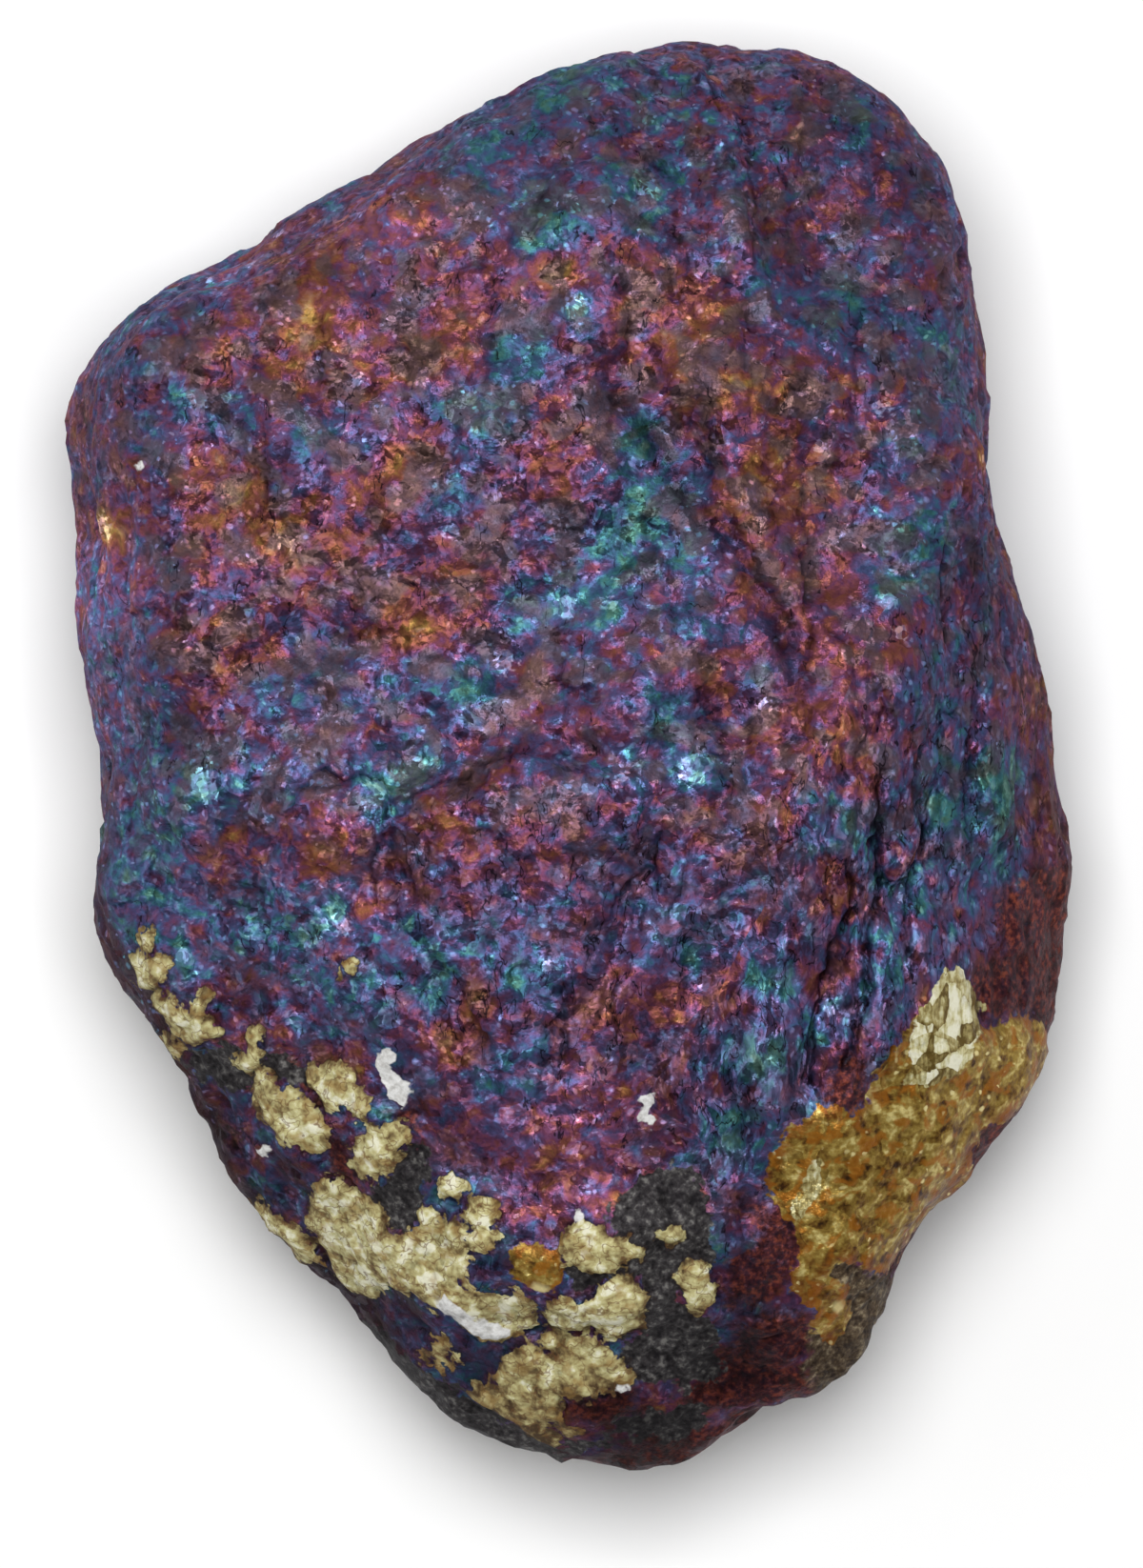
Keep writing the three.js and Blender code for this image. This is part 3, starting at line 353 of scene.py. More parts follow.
# Outlines of the larger patches of crust.
MASSES = {
    Crust.MAROON: (
        (
            (21.4, -19.2), (24.8, -18.0), (25.4, -19.4), (23.4, -22.2), (20.6, -24.8), (18.6, -26.4),
            (18.4, -24.4), (20.2, -22.8), (21.4, -21.6),
        ),
        (
            (20.9, -11.3), (22.4, -10.3), (22.6, -7.4), (24.6, -5.6), (26.8, -5.4), (26.2, -14.6),
            (25.1, -14.8), (24.5, -13.4), (22.6, -13.8), (21.7, -13.6),
        ),
        ((14.3, -15.4), (15.8, -15.2), (15.4, -17.6), (14.9, -18.8), (13.4, -17.9)),
        (
            (10.1, -23.2), (11.7, -23.5), (12.9, -25.0), (12.2, -26.6), (10.8, -28.4), (8.4, -28.6),
            (8.6, -26.2), (10.0, -25.2),
        ),
        (
            (8.2, -30.6), (11.0, -31.0), (12.8, -32.0), (13.0, -33.2), (10.9, -34.0), (6.0, -34.8),
            (6.2, -33.0),
        ),
        ((0.1, -33.2), (2.2, -32.9), (3.5, -32.8), (4.0, -34.2), (1.6, -34.7), (0.1, -34.5)),
        (
            (0.0, -37.4), (2.0, -36.2), (4.0, -35.7), (6.3, -35.8), (8.4, -35.0), (11.0, -34.0),
            (14.5, -32.6), (15.0, -34.0), (10.5, -37.0), (7.8, -39.5), (2.7, -40.0), (0.0, -39.5),
        ),
        ((-12.5, -19.3), (-10.9, -20.4), (-10.3, -22.4), (-12.1, -21.8)),
        ((-9.1, -18.6), (-7.6, -17.9), (-7.4, -20.0), (-8.2, -19.2)),
    ),
    Crust.SOOTY: (
        (
            (-20.0, -15.4), (-16.8, -15.3), (-14.6, -15.4), (-13.1, -16.4), (-13.3, -17.6),
            (-15.5, -16.6), (-16.3, -17.2), (-17.4, -17.6), (-19.2, -16.8),
        ),
        (
            (-8.2, -20.2), (-7.3, -20.2), (-6.8, -21.6), (-7.3, -22.6), (-7.4, -24.0), (-8.4, -24.8),
            (-9.4, -24.0), (-10.0, -22.6), (-9.1, -21.8),
        ),
        (
            (3.8, -21.8), (5.2, -21.1), (7.1, -21.5), (7.7, -23.9), (7.7, -26.4), (5.9, -28.2),
            (7.7, -29.2), (8.2, -32.5), (5.9, -33.0), (3.7, -32.5), (2.7, -31.2), (3.9, -29.9),
            (4.0, -27.2), (1.6, -27.4), (0.4, -28.2), (0.0, -26.1), (2.4, -24.8), (2.3, -23.5),
        ),
        (
            (-10.6, -29.5), (-9.1, -30.4), (-7.6, -32.0), (-5.5, -33.2), (-2.7, -34.9), (-0.5, -35.9),
            (2.7, -35.6), (2.5, -34.3), (7.5, -33.9), (7.6, -35.0), (6.0, -35.8), (2.7, -35.8),
            (0.0, -36.8), (-2.0, -37.8), (-5.0, -36.6), (-8.6, -34.6), (-11.0, -31.0),
        ),
    ),
    Crust.EARTHY: (
        (
            (13.2, -26.1), (14.3, -25.9), (15.7, -26.7), (17.6, -27.2), (17.4, -28.8), (16.8, -30.6),
            (15.4, -32.6), (13.5, -33.3), (12.5, -32.3), (12.8, -30.5), (13.2, -28.4),
        ),
    ),
    Crust.BRASS: (
        (
            (13.5, -18.0), (14.9, -18.6), (15.7, -17.4), (16.4, -15.6), (17.3, -14.5), (18.5, -12.9),
            (19.0, -11.9), (21.2, -12.0), (21.8, -14.2), (22.6, -14.1), (23.5, -13.4), (24.6, -13.6),
            (25.9, -14.8), (25.6, -16.9), (24.6, -18.0), (23.0, -18.9), (21.9, -19.4), (21.3, -20.6),
            (21.5, -21.8), (19.8, -23.4), (18.4, -24.6), (17.6, -26.4), (16.2, -26.9), (14.6, -26.2),
            (13.6, -27.2), (13.2, -28.6), (12.2, -28.6), (11.9, -27.2), (12.2, -25.9), (11.8, -24.3),
            (10.9, -23.3), (10.5, -21.7), (10.8, -20.6), (11.9, -19.2),
        ),
        ((13.0, -27.0), (14.5, -27.4), (15.2, -28.6), (14.9, -29.9), (14.0, -30.8), (13.0, -30.0)),
        (
            (-2.7, -25.4), (-1.4, -25.3), (-0.1, -25.7), (0.0, -27.2), (-1.0, -28.0), (-1.8, -27.6),
            (-2.7, -27.1),
        ),
    ),
    Crust.FLAKE: (
        (
            (18.0, -13.8), (18.6, -12.6), (19.3, -11.3), (20.2, -10.9), (21.0, -11.6), (21.6, -12.8),
            (21.9, -14.2), (21.3, -15.2), (20.2, -16.4), (18.9, -17.2), (17.6, -16.9), (17.9, -15.4),
        ),
        ((12.9, -20.7), (13.4, -20.8), (13.3, -22.4), (12.2, -24.1), (11.7, -23.8), (12.4, -22.4)),
    ),
    Crust.PALE: (
        (
            (-22.7, -10.5), (-21.9, -10.1), (-20.8, -10.6), (-20.7, -11.6), (-21.3, -12.1),
            (-22.3, -12.1),
        ),
        (
            (-21.8, -12.4), (-20.8, -12.4), (-20.1, -13.1), (-19.7, -13.4), (-18.9, -12.3),
            (-18.5, -12.6), (-18.7, -13.6), (-18.1, -14.4), (-18.4, -14.8), (-19.6, -14.9),
            (-20.6, -13.9), (-21.6, -13.1),
        ),
        ((-21.0, -14.5), (-20.1, -14.6), (-19.8, -15.4), (-20.4, -15.5)),
        (
            (-16.4, -14.2), (-15.8, -13.7), (-15.9, -15.2), (-15.7, -15.9), (-16.5, -16.6),
            (-17.2, -15.9), (-16.5, -15.4),
        ),
        (
            (-16.1, -16.3), (-15.4, -16.4), (-14.6, -17.3), (-13.6, -17.9), (-12.5, -18.8),
            (-12.1, -19.4), (-12.6, -20.2), (-13.6, -20.5), (-14.7, -19.9), (-15.6, -19.0),
            (-16.1, -18.0),
        ),
        (
            (-13.1, -16.1), (-12.1, -15.8), (-11.1, -16.3), (-10.7, -17.0), (-10.1, -17.5),
            (-10.0, -18.2), (-10.6, -18.7), (-11.3, -18.1), (-12.1, -18.3), (-13.0, -17.4),
            (-13.4, -16.9),
        ),
        (
            (-10.9, -20.3), (-9.9, -19.3), (-8.2, -19.1), (-8.0, -19.7), (-8.8, -20.9), (-9.3, -21.7),
            (-10.1, -21.9), (-10.9, -21.4),
        ),
        (
            (-12.5, -21.9), (-11.2, -22.3), (-10.1, -22.9), (-9.3, -23.7), (-9.2, -24.7), (-8.4, -24.9),
            (-7.5, -24.3), (-7.4, -23.5), (-6.8, -23.5), (-6.6, -24.3), (-5.5, -24.1), (-4.9, -24.9),
            (-4.9, -26.7), (-5.8, -27.6), (-6.9, -28.1), (-8.2, -27.9), (-9.1, -27.3), (-10.1, -28.1),
            (-11.2, -27.8), (-12.4, -26.8), (-12.2, -25.9), (-12.9, -25.4), (-12.6, -25.0),
            (-13.4, -24.4), (-13.2, -22.9),
        ),
        (
            (-16.3, -23.2), (-15.5, -23.6), (-14.4, -24.3), (-13.3, -25.3), (-12.8, -26.1),
            (-13.6, -26.5), (-14.7, -25.3), (-15.6, -24.6),
        ),
        (
            (-6.5, -27.6), (-5.2, -27.5), (-3.7, -27.9), (-2.3, -27.7), (-1.5, -28.8), (-1.4, -29.5),
            (-2.5, -30.2), (-3.7, -30.3), (-4.8, -29.9), (-5.9, -29.0), (-7.4, -28.3), (-8.6, -27.7),
        ),
        (
            (0.0, -24.6), (0.7, -24.0), (2.0, -24.3), (2.4, -24.9), (3.3, -25.0), (4.0, -25.6),
            (4.0, -26.2), (3.1, -26.4), (2.4, -26.9), (1.2, -26.5), (0.0, -26.2),
        ),
        ((6.0, -26.9), (6.7, -26.2), (7.7, -26.7), (7.7, -28.2), (6.9, -29.0), (6.2, -28.2)),
        (
            (2.7, -27.1), (3.9, -27.2), (4.2, -28.2), (4.0, -29.6), (2.4, -30.2), (1.5, -29.6),
            (0.5, -30.0), (-0.5, -29.8), (-1.1, -28.8), (-0.1, -28.1), (0.9, -28.5), (1.3, -28.2),
            (2.0, -27.5),
        ),
        (
            (0.2, -30.3), (1.6, -30.1), (2.8, -31.2), (3.6, -32.2), (2.2, -33.0), (1.2, -33.4),
            (-0.2, -33.2), (-0.4, -33.9), (0.1, -34.7), (-0.8, -34.7), (-2.3, -35.0), (-3.6, -34.3),
            (-5.1, -33.4), (-4.8, -32.6), (-3.6, -33.0), (-3.4, -32.0), (-3.2, -31.1), (-1.8, -30.6),
            (-0.4, -31.2),
        ),
    ),
    Crust.CHALK: (
        (
            (-9.7, -15.4), (-9.1, -15.1), (-8.8, -15.8), (-8.9, -16.4), (-8.2, -16.9), (-8.0, -17.4),
            (-8.5, -18.2), (-9.2, -17.7), (-9.3, -16.9), (-9.8, -15.9),
        ),
        (
            (3.5, -18.8), (4.1, -18.2), (3.9, -17.7), (4.7, -17.5), (4.6, -18.1), (4.3, -18.4),
            (4.8, -19.0), (4.6, -19.3), (4.1, -18.9),
        ),
    ),
}

# Small patches of crust.
SPOTS = {
    Crust.MAROON: (
        Spot(10.8, -30.4, 2.4, 1.6, 15), Spot(6.0, -36.6, 4.4, 1.6, 10),
    ),
    Crust.PALE: (
        Spot(-21.7, -9.6, 0.4, 0.45), Spot(-5.9, -22.3, 0.7, 0.65), Spot(-4.3, -23.7, 0.85, 0.8),
        Spot(-4.4, -25.0, 0.8, 0.6), Spot(5.6, -24.8, 0.5, 0.45), Spot(-6.4, -31.2, 0.4, 0.75, 10),
        Spot(-5.6, -31.4, 0.35, 0.35), Spot(-7.2, -31.2, 0.25, 0.4), Spot(-0.5, -30.3, 0.45, 0.4),
        Spot(0.2, -35.2, 0.6, 0.35), Spot(-1.2, -35.3, 0.55, 0.4), Spot(-0.4, -35.9, 0.3, 0.3),
        Spot(-11.2, -11.0, 0.45, 0.25, 30),
    ),
    Crust.CHALK: (
        Spot(-15.6, -20.4, 0.4, 0.35), Spot(0.6, -23.8, 0.3, 0.35), Spot(3.1, -32.8, 0.4, 0.3),
        Spot(-22.1, 15.0, 0.28, 0.26), Spot(-5.7, -28.8, 1.1, 0.6, -35),
        Spot(-3.9, -29.6, 1.1, 0.5, -18),
    ),
}

# Crusts below the rim, out of sight from above.
UNDER_CRUSTS = {
    Crust.PALE: UnderCrust((Layer(1.0, 2.6, 31), Layer(0.4, 1.1, 32)), 0.62, 0.35, 1.4),
    Crust.SOOTY: UnderCrust((Layer(1.0, 6.5, 33),), 0.25, 0.6),
    Crust.MAROON: UnderCrust((Layer(1.0, 7.5, 34),), 0.55),
    Crust.BRASS: UnderCrust((Layer(1.0, 8.5, 35),), 0.95),
}
MATRIX_WAY = (-0.55, -0.83)  # from the middle towards the matrix end
MATRIX_AWAY = 30.0  # how far off that end is

# The round place with the most thin crevices, and the distances over which they thin out.
RIVEN_MIDDLE = (0.0, -10.0)
RIVEN_BAND = (5.0, 11.0)

# The right flank, where the grains are drawn out lengthwise.
DRAWN_OUTLINE = (
    (12.5, 0.0), (16.5, 6.0), (21.0, 10.0), (27.0, 2.0), (26.5, -6.0), (24.0, -12.0), (17.0, -15.5),
    (12.5, -19.0), (8.0, -22.0), (6.0, -18.0), (10.0, -8.0),
)

# Cracks and creases.
CRACKS = (
    Crack(((-10.0, -3.4), (-9.8, -4.6), (-9.9, -6.0), (-9.6, -7.4)), 0.18, 0.16),
    Crack(((-8.6, -4.2), (-8.4, -5.6), (-8.3, -6.8)), 0.18, 0.16),
    Crack(((-7.1, -4.8), (-7.3, -6.4), (-7.2, -7.8)), 0.18, 0.16),
    Crack(((-2.9, 0.8), (-2.6, -1.9)), 0.2, 0.2),
    Crack(((4.9, -4.3), (4.2, -6.0), (3.1, -7.4)), 0.22, 0.26),
    Crack(((6.6, -4.6), (6.2, -6.6), (5.4, -8.4)), 0.2, 0.22),
    Crack(((0.1, -11.8), (0.0, -13.4), (-0.9, -14.1))),
    Crack(((-0.1, -13.5), (0.0, -15.8))),
    Crack(((2.6, -11.4), (2.4, -13.2), (2.9, -14.6)), 0.2, 0.2),
    Crack(((20.1, 11.7), (19.6, 8.6), (19.4, 5.7))),
    Crack(((7.4, 36.6), (7.7, 35.0), (8.1, 33.6))),
    Crack(((5.9, 27.2), (6.3, 25.8), (6.6, 24.6))),
    Crack(((3.0, 18.6), (5.2, 15.4), (6.8, 13.4), (8.0, 12.1)), 0.9, 0.22),
    Crack(((8.8, 11.4), (9.5, 10.0), (11.3, 6.7), (12.1, 3.7), (11.6, 1.0)), 0.8, 0.17),
    Crack(
        ((16.3, -1.0), (15.9, -4.5), (16.5, -6.6), (15.6, -9.2), (15.8, -12.2), (14.6, -16.0)),
        0.34, 0.42,
    ),
    Crack(((18.3, 0.4), (17.7, -1.7), (18.2, -4.0), (17.7, -7.6), (17.8, -10.4)), 0.32, 0.4),
    Crack(((14.6, -5.5), (15.1, -7.1), (13.5, -11.5), (12.9, -13.6), (12.7, -16.8)), 0.32, 0.38),
    Crack(((-8.4, -2.1), (-6.4, -1.1), (-5.0, -0.9)), 0.3, 0.16),
    Crack(((-4.4, -0.4), (-3.0, 0.1), (-2.4, 0.9)), 0.3, 0.14),
)
FULL_CRACK = 0.35  # depth from which a crack's painted shade is as dark as it gets

# Painted highlights on cleavage faces.
GLINTS = (
    Glint(6.8, -0.7, 1.0, 1.35), Glint(-18.6, -1.6, 0.9, 1.3), Glint(-9.6, -1.8, 0.7, 1.0),
    Glint(0.1, 7.7, 0.7, 1.3), Glint(2.4, 7.9, 0.5, 0.9), Glint(-3.0, 4.7, 0.8, 0.9),
    Glint(-23.8, 11.9, 0.9, 0.75), Glint(16.5, 17.9, 0.6, 0.9), Glint(13.4, 15.9, 0.35, 1.3),
    Glint(16.8, 8.0, 0.6, 1.2), Glint(17.3, 6.3, 0.5, 0.9), Glint(10.3, 2.6, 0.35, 1.1),
    Glint(-16.3, 25.5, 0.5, 1.2), Glint(-10.7, 19.5, 0.5, 0.8), Glint(-14.3, 10.9, 0.6, 0.8),
    Glint(4.2, 29.3, 0.7, 0.8), Glint(0.6, 23.2, 0.5, 1.0), Glint(-5.8, 11.5, 0.5, 0.8),
    Glint(1.3, -1.8, 0.5, 1.1), Glint(3.0, -1.0, 0.5, 0.8), Glint(-15.3, -3.2, 0.4, 0.9),
    Glint(-20.0, -10.4, 0.6, 1.0), Glint(-11.7, -8.8, 0.7, 1.0), Glint(-0.8, -10.8, 0.35, 1.0),
    Glint(2.4, -15.5, 0.4, 0.9), Glint(13.7, -13.0, 0.5, 1.1), Glint(15.8, -16.1, 0.4, 1.3),
    Glint(17.5, -7.4, 0.5, 0.9), Glint(21.7, 15.4, 0.4, 1.2), Glint(22.4, 13.0, 0.3, 1.2),
    Glint(-21.9, -11.0, 0.4, 0.6), Glint(14.3, -28.6, 0.4, 0.9), Glint(-1.3, -27.6, 0.5, 0.9),
    Glint(-18.6, 24.9, 0.5, 0.9), Glint(-14.8, 27.1, 0.5, 0.9), Glint(-22.6, 22.0, 0.4, 0.8),
)


# ---------------------------------------------------------------------------
# Fields over the stone
# ---------------------------------------------------------------------------


class Grain:
    """Repeatable noise over points in millimetres."""

    CELL_FACTORS = (374761393, 668265263, 1274126177)
    SALT_FACTOR = 1442695041
    SCATTERS = ((13, 1103515245), (16, 2654435761))
    LAST_SHIFT = 15
    WORD = 0xFFFFFFFF
    FRACTION = 0xFFFFFF
    SOFT_GAIN = 1.7  # brings soft noise to about 1 at its peaks
    FACET_LEVEL = 0.3  # brings the broken grains to about 0 on average

    @staticmethod
    def number(cell: np.ndarray, salt: int) -> np.ndarray:
        """Gives each whole-number cell a number from 0 to 1.

        Args:
            cell: Whole numbers, one row of three for each point.
            salt: Picks another set of numbers.

        Returns:
            One number for each row.
        """
        mixed = sum(cell[:, axis] * factor for axis, factor in enumerate(Grain.CELL_FACTORS))
        mixed = (mixed + salt * Grain.SALT_FACTOR) & Grain.WORD
        for shift, factor in Grain.SCATTERS:
            mixed = ((mixed ^ (mixed >> shift)) * factor) & Grain.WORD
        return ((mixed ^ (mixed >> Grain.LAST_SHIFT)) & Grain.FRACTION) / float(Grain.FRACTION)

    @staticmethod
    def soft(points: np.ndarray, size: float, salt: int = 0) -> np.ndarray:
        """Smooth noise from about -1 to 1.

        Args:
            points: Points in millimetres.
            size: Length of one feature.
            salt: Picks another pattern.

        Returns:
            One height for each point.
        """
        place = points / size
        base = np.floor(place).astype(np.int64)
        part = place - base
        fade = part**3 * (part * (part * 6 - 15) + 10)
        total = np.zeros(len(points))
        for corner in range(8):
            step = np.array([corner & 1, corner >> 1 & 1, corner >> 2 & 1])
            away = part - step
            slope = sum(
                (2 * Grain.number(base + step, salt * 3 + axis) - 1) * away[:, axis] for axis in range(3)
            )
            weight = np.prod(np.where(step == 1, fade, 1 - fade), axis=1)
            total += weight * slope
        return total * Grain.SOFT_GAIN

    @staticmethod
    def layers(points: np.ndarray, *layers: Layer) -> np.ndarray:
        """Adds up layers of soft noise."""
        return sum(layer.reach * Grain.soft(points, layer.size, layer.salt) for layer in layers)

    @staticmethod
    def facets(points: np.ndarray, size: float, tilt: float, crown: float, salt: int) -> np.ndarray:
        """Heights of broken grains, each a tilted low dome that meets its neighbours in creases.

        Args:
            points: Points in millimetres.
            size: Size of one grain.
            tilt: Steepness of the grains' faces.
            crown: How far the faces bulge.
            salt: Picks another pattern.

        Returns:
            One height for each point, in units of the grain size.
        """
        place = points / size
        base = np.floor(place).astype(np.int64)
        highest = np.full(len(points), -np.inf)
        for code in range(27):
            step = np.array([code % 3 - 1, code // 3 % 3 - 1, code // 9 - 1])
            cell = base + step
            centre = np.stack([cell[:, a] + Grain.number(cell, salt + a) for a in range(3)], axis=1)
            away = place - centre
            slope = sum((2 * Grain.number(cell, salt + 3 + a) - 1) * away[:, a] for a in range(3))
            height = tilt * slope - crown * np.einsum("ij,ij->i", away, away)
            np.maximum(highest, height, out=highest)
        return highest + crown * Grain.FACET_LEVEL


class Plan:
    """Distances over the stone seen from above, in millimetres."""

    @staticmethod
    def smooth(value: np.ndarray, low: float, high: float) -> np.ndarray:
        """Rises smoothly from 0 at low to 1 at high."""
        part = np.clip((value - low) / (high - low), 0, 1)
        return part * part * (3 - 2 * part)

    @staticmethod
    def away(points: np.ndarray, x: float, y: float) -> np.ndarray:
        """Distance from each plan point to a place."""
        return np.hypot(points[:, 0] - x, points[:, 1] - y)

    @staticmethod
    def path_distance(points: np.ndarray, path: Path) -> np.ndarray:
        """Distance from each plan point to an open path."""
        best = np.full(len(points), np.inf)
        for start, end in zip(path, path[1:]):
            origin = np.array(start)
            run = np.array(end) - origin
            part = np.clip((points - origin) @ run / (run @ run), 0, 1)
            away = np.linalg.norm(points - origin - part[:, None] * run, axis=1)
            np.minimum(best, away, out=best)
        return best

    @staticmethod
    def inside_outline(points: np.ndarray, outline: Path) -> np.ndarray:
        """Signed distance from each plan point to a closed outline.

        Args:
            points: Plan points in millimetres.
            outline: Corners of the outline.

        Returns:
            Distances, above zero inside.
        """
        closed = (*outline, outline[0])
        inside = np.zeros(len(points), bool)
        x, y = points[:, 0], points[:, 1]
        for (ax, ay), (bx, by) in zip(closed, closed[1:]):
            spans = (ay > y) != (by > y)
            cross = ax + (y - ay) * (bx - ax) / ((by - ay) or TINY)
            inside ^= spans & (x < cross)
        return np.where(inside, 1, -1) * Plan.path_distance(points, closed)

    @staticmethod
    def inside_spot(points: np.ndarray, spot: Spot) -> np.ndarray:
        """About how far each plan point lies inside a spot."""
        angle = math.radians(spot.turn)
        dx, dy = points[:, 0] - spot.x, points[:, 1] - spot.y
        along = (dx * math.cos(angle) + dy * math.sin(angle)) / spot.half_x
        across = (dy * math.cos(angle) - dx * math.sin(angle)) / spot.half_y
        return (1 - np.hypot(along, across)) * min(spot.half_x, spot.half_y)


# ---------------------------------------------------------------------------
# The stone
# ---------------------------------------------------------------------------


@dataclass
class Stone:
    """The whole stone as one piece, with sizes in millimetres."""

    node: str = "ore"
    name: str = "ore_stone"

    # The mesh.
    weld: float = 0.001
    coarse_cuts: int = 2
    fine_cuts: int = 1
    fine_above: float = 20.5
    rest_height: float = 0.02
    soften_rounds: int = 14
    upper_band: Band = (9.0, 14.0)  # heights over which the listed places come in

    # How the borders of patches and crusts wander, along X and along Y.
    wander: tuple[tuple[Layer, Layer], ...] = (
        (Layer(1.0, 1.3, 11), Layer(0.55, 0.55, 12)),
        (Layer(1.0, 1.3, 13), Layer(0.55, 0.55, 14)),
    )
    wander_shift: float = 0.22
    drawn_fray: Layer = Layer(1.5, 5.0, 15)
    drawn_band: Band = (-2.5, 1.5)
    pale_growth: float = 0.12
    far_outside: float = -3.0

    # The tarnish film, from 0 for brassy to 1 for olive, and its light, partly painted light and shade.
    drift_weight: float = 0.5
    drift_middle: float = 0.5
    drift: tuple[Layer, ...] = (Layer(0.12, 6.0, 21), Layer(0.1, 2.4, 22))
    under_middle: float = 0.54
    under_drift: tuple[Layer, ...] = (Layer(0.22, 5.0, 23), Layer(0.12, 2.0, 24))
    blotch_gain: float = 1.6
    shade_band: Band = (0.3, 1.4)  # parts of a patch's radius over which it dies out
    lively_band: Band = (0.4, 1.5)
    glint_band: Band = (0.5, 1.15)
    near_spot: float = 1.0
    blotch_drop: float = 0.35  # parts of a height difference that count as distance
    glint_drop: float = 0.7
    crack_reach: float = 1.1  # parts of a crack's width over which it dies out

    # The broken grains.
    hackles: tuple[Hackle, ...] = (Hackle(3.4, 0.42, 41), Hackle(1.5, 0.24, 51), Hackle(0.75, 0.13, 61))
    crease_size: float = 1.3
    crease_shift: float = 0.35
    crease_salts: tuple[int, int, int] = (16, 17, 18)
    grain_crown: float = 0.5
    even_stretch: Triple = (1.1, 0.9, 1.0)
    even_tilt: float = 1.2
    flank_stretch: Triple = (1.35, 0.42, 1.0)
    flank_tilt: float = 1.3
    flank_rise: float = 1.25
    flank_salt: int = 7
    flank_lean: float = -6.0
    fine_grit: Layer = Layer(0.04, 0.5, 71)

    # How far each crust calms the grains, stands proud or lies sunk, and its own grit. An edge is the
    # band of distances into the crust over which that comes in.
    pale_edge: Band = (-0.05, 0.25)
    pale_calm: float = 0.75
    pale_grit: tuple[Layer, ...] = (Layer(0.16, 1.0, 72), Layer(0.10, 0.45, 73))
    pale_bed: float = 0.05
    pale_rise: float = 0.18
    pale_rise_edge: Band = (-0.1, 0.5)
    chalk_rise: float = 0.10
    chalk_edge: Band = (-0.05, 0.15)
    brass_calm: float = 0.25
    brass_rise: float = 0.10
    brass_edge: Band = (-0.1, 0.3)
    sooty_calm: float = 0.3
    sooty_grit: Layer = Layer(0.14, 0.6, 74)
    sooty_sink: float = 0.12
    sooty_edge: Band = (-0.1, 0.4)

    # What the finish needs to know of the carved surface.
    crevice_rounds: int = 5
    crevice_depth: float = 0.05
    hollow_rounds: int = 45
    hollow_depth: float = 0.30
    upright_band: Band = (0.25, 0.70)  # upward share of the facing over which a side stops being steep
    # The rim's painted shade: on steep sides, and towards the foot.
    rim_shade_steep: Band = (0.55, 1.0)
    rim_shade_reach: Band = (-4.0, 12.0)  # distances towards the foot over which the rim's painted shade comes in

    points: np.ndarray = field(init=False, repr=False)
    faces: np.ndarray = field(init=False, repr=False)

    def read_solid(self) -> None:
        """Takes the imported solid's surface and splits it finely, most of all on the upper side."""
        bm = bmesh.new()
        bm.from_mesh(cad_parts[self.node].data)
        bmesh.ops.remove_doubles(bm, verts=bm.verts, dist=self.weld * MM)
        bmesh.ops.subdivide_edges(bm, edges=bm.edges, cuts=self.coarse_cuts, use_grid_fill=True)
        high = [e for e in bm.edges if min(v.co.z for v in e.verts) > self.fine_above * MM]
        bmesh.ops.subdivide_edges(bm, edges=high, cuts=self.fine_cuts, use_grid_fill=True)
        bmesh.ops.triangulate(bm, faces=bm.faces)
        bm.verts.index_update()
        self.points = np.array([v.co[:] for v in bm.verts]) / MM
        self.faces = np.array([[v.index for v in f.verts] for f in bm.faces])
        bm.free()
        ends = np.concatenate([self.faces[:, [0, 1]], self.faces[:, [1, 2]], self.faces[:, [2, 0]]])
        self.edges = np.unique(np.sort(ends, axis=1), axis=0)
        self.low = self.points.min(axis=0)
        self.high = self.points.max(axis=0)

    def average(self, values: np.ndarray, rounds: int) -> np.ndarray:
        """Averages values over the mesh.

        Args:
            values: One number, or one row of numbers, for each point.
            rounds: How many times each value moves halfway to its neighbours' mean.

        Returns:
            The averaged values.
        """
        table = values.reshape(len(values), -1).astype(float)
        start, end = self.edges[:, 0], self.edges[:, 1]
        count = np.bincount(np.concatenate([start, end]), minlength=len(table))
        for _ in range(rounds):
            for column in range(table.shape[1]):
                line = table[:, column]
                total = np.bincount(start, weights=line[end], minlength=len(line))
                total += np.bincount(end, weights=line[start], minlength=len(line))
                table[:, column] = 0.5 * line + 0.5 * total / count
        return table.reshape(values.shape)

    def normals(self) -> np.ndarray:
        """The outward direction at each point."""
        a, b, c = (self.points[self.faces[:, k]] for k in range(3))
        cross = np.cross(b - a, c - a)
        total = np.zeros_like(self.points)
        for axis in range(3):
            for k in range(3):
                corner = self.faces[:, k]
                total[:, axis] += np.bincount(corner, weights=cross[:, axis], minlength=len(self.points))
        return total / np.maximum(np.linalg.norm(total, axis=1, keepdims=True), TINY)

    def lay_out(self) -> None:
        """Works out where the listed patches, crusts, glints and cracks lie on the surface."""
        points = self.points
        self.upper = Plan.smooth(points[:, 2], *self.upper_band)
        wander = np.stack([Grain.layers(points, *layers) for layers in self.wander], axis=1)
        self.plan = points[:, :2] + self.wander_shift * wander
        drawn = Plan.inside_outline(points[:, :2], DRAWN_OUTLINE) + Grain.layers(points, self.drawn_fray)
        self.streak = Plan.smooth(drawn, *self.drawn_band) * self.upper
        riven = 1 - Plan.smooth(Plan.away(points, *RIVEN_MIDDLE), *RIVEN_BAND)
        self.riven = np.maximum(self.streak, riven * self.upper)
        self.crusts = {crust: self.crust_field(crust) for crust in Crust}
        self.lay_film()
        self.set_glints()
        self.lay_cracks()

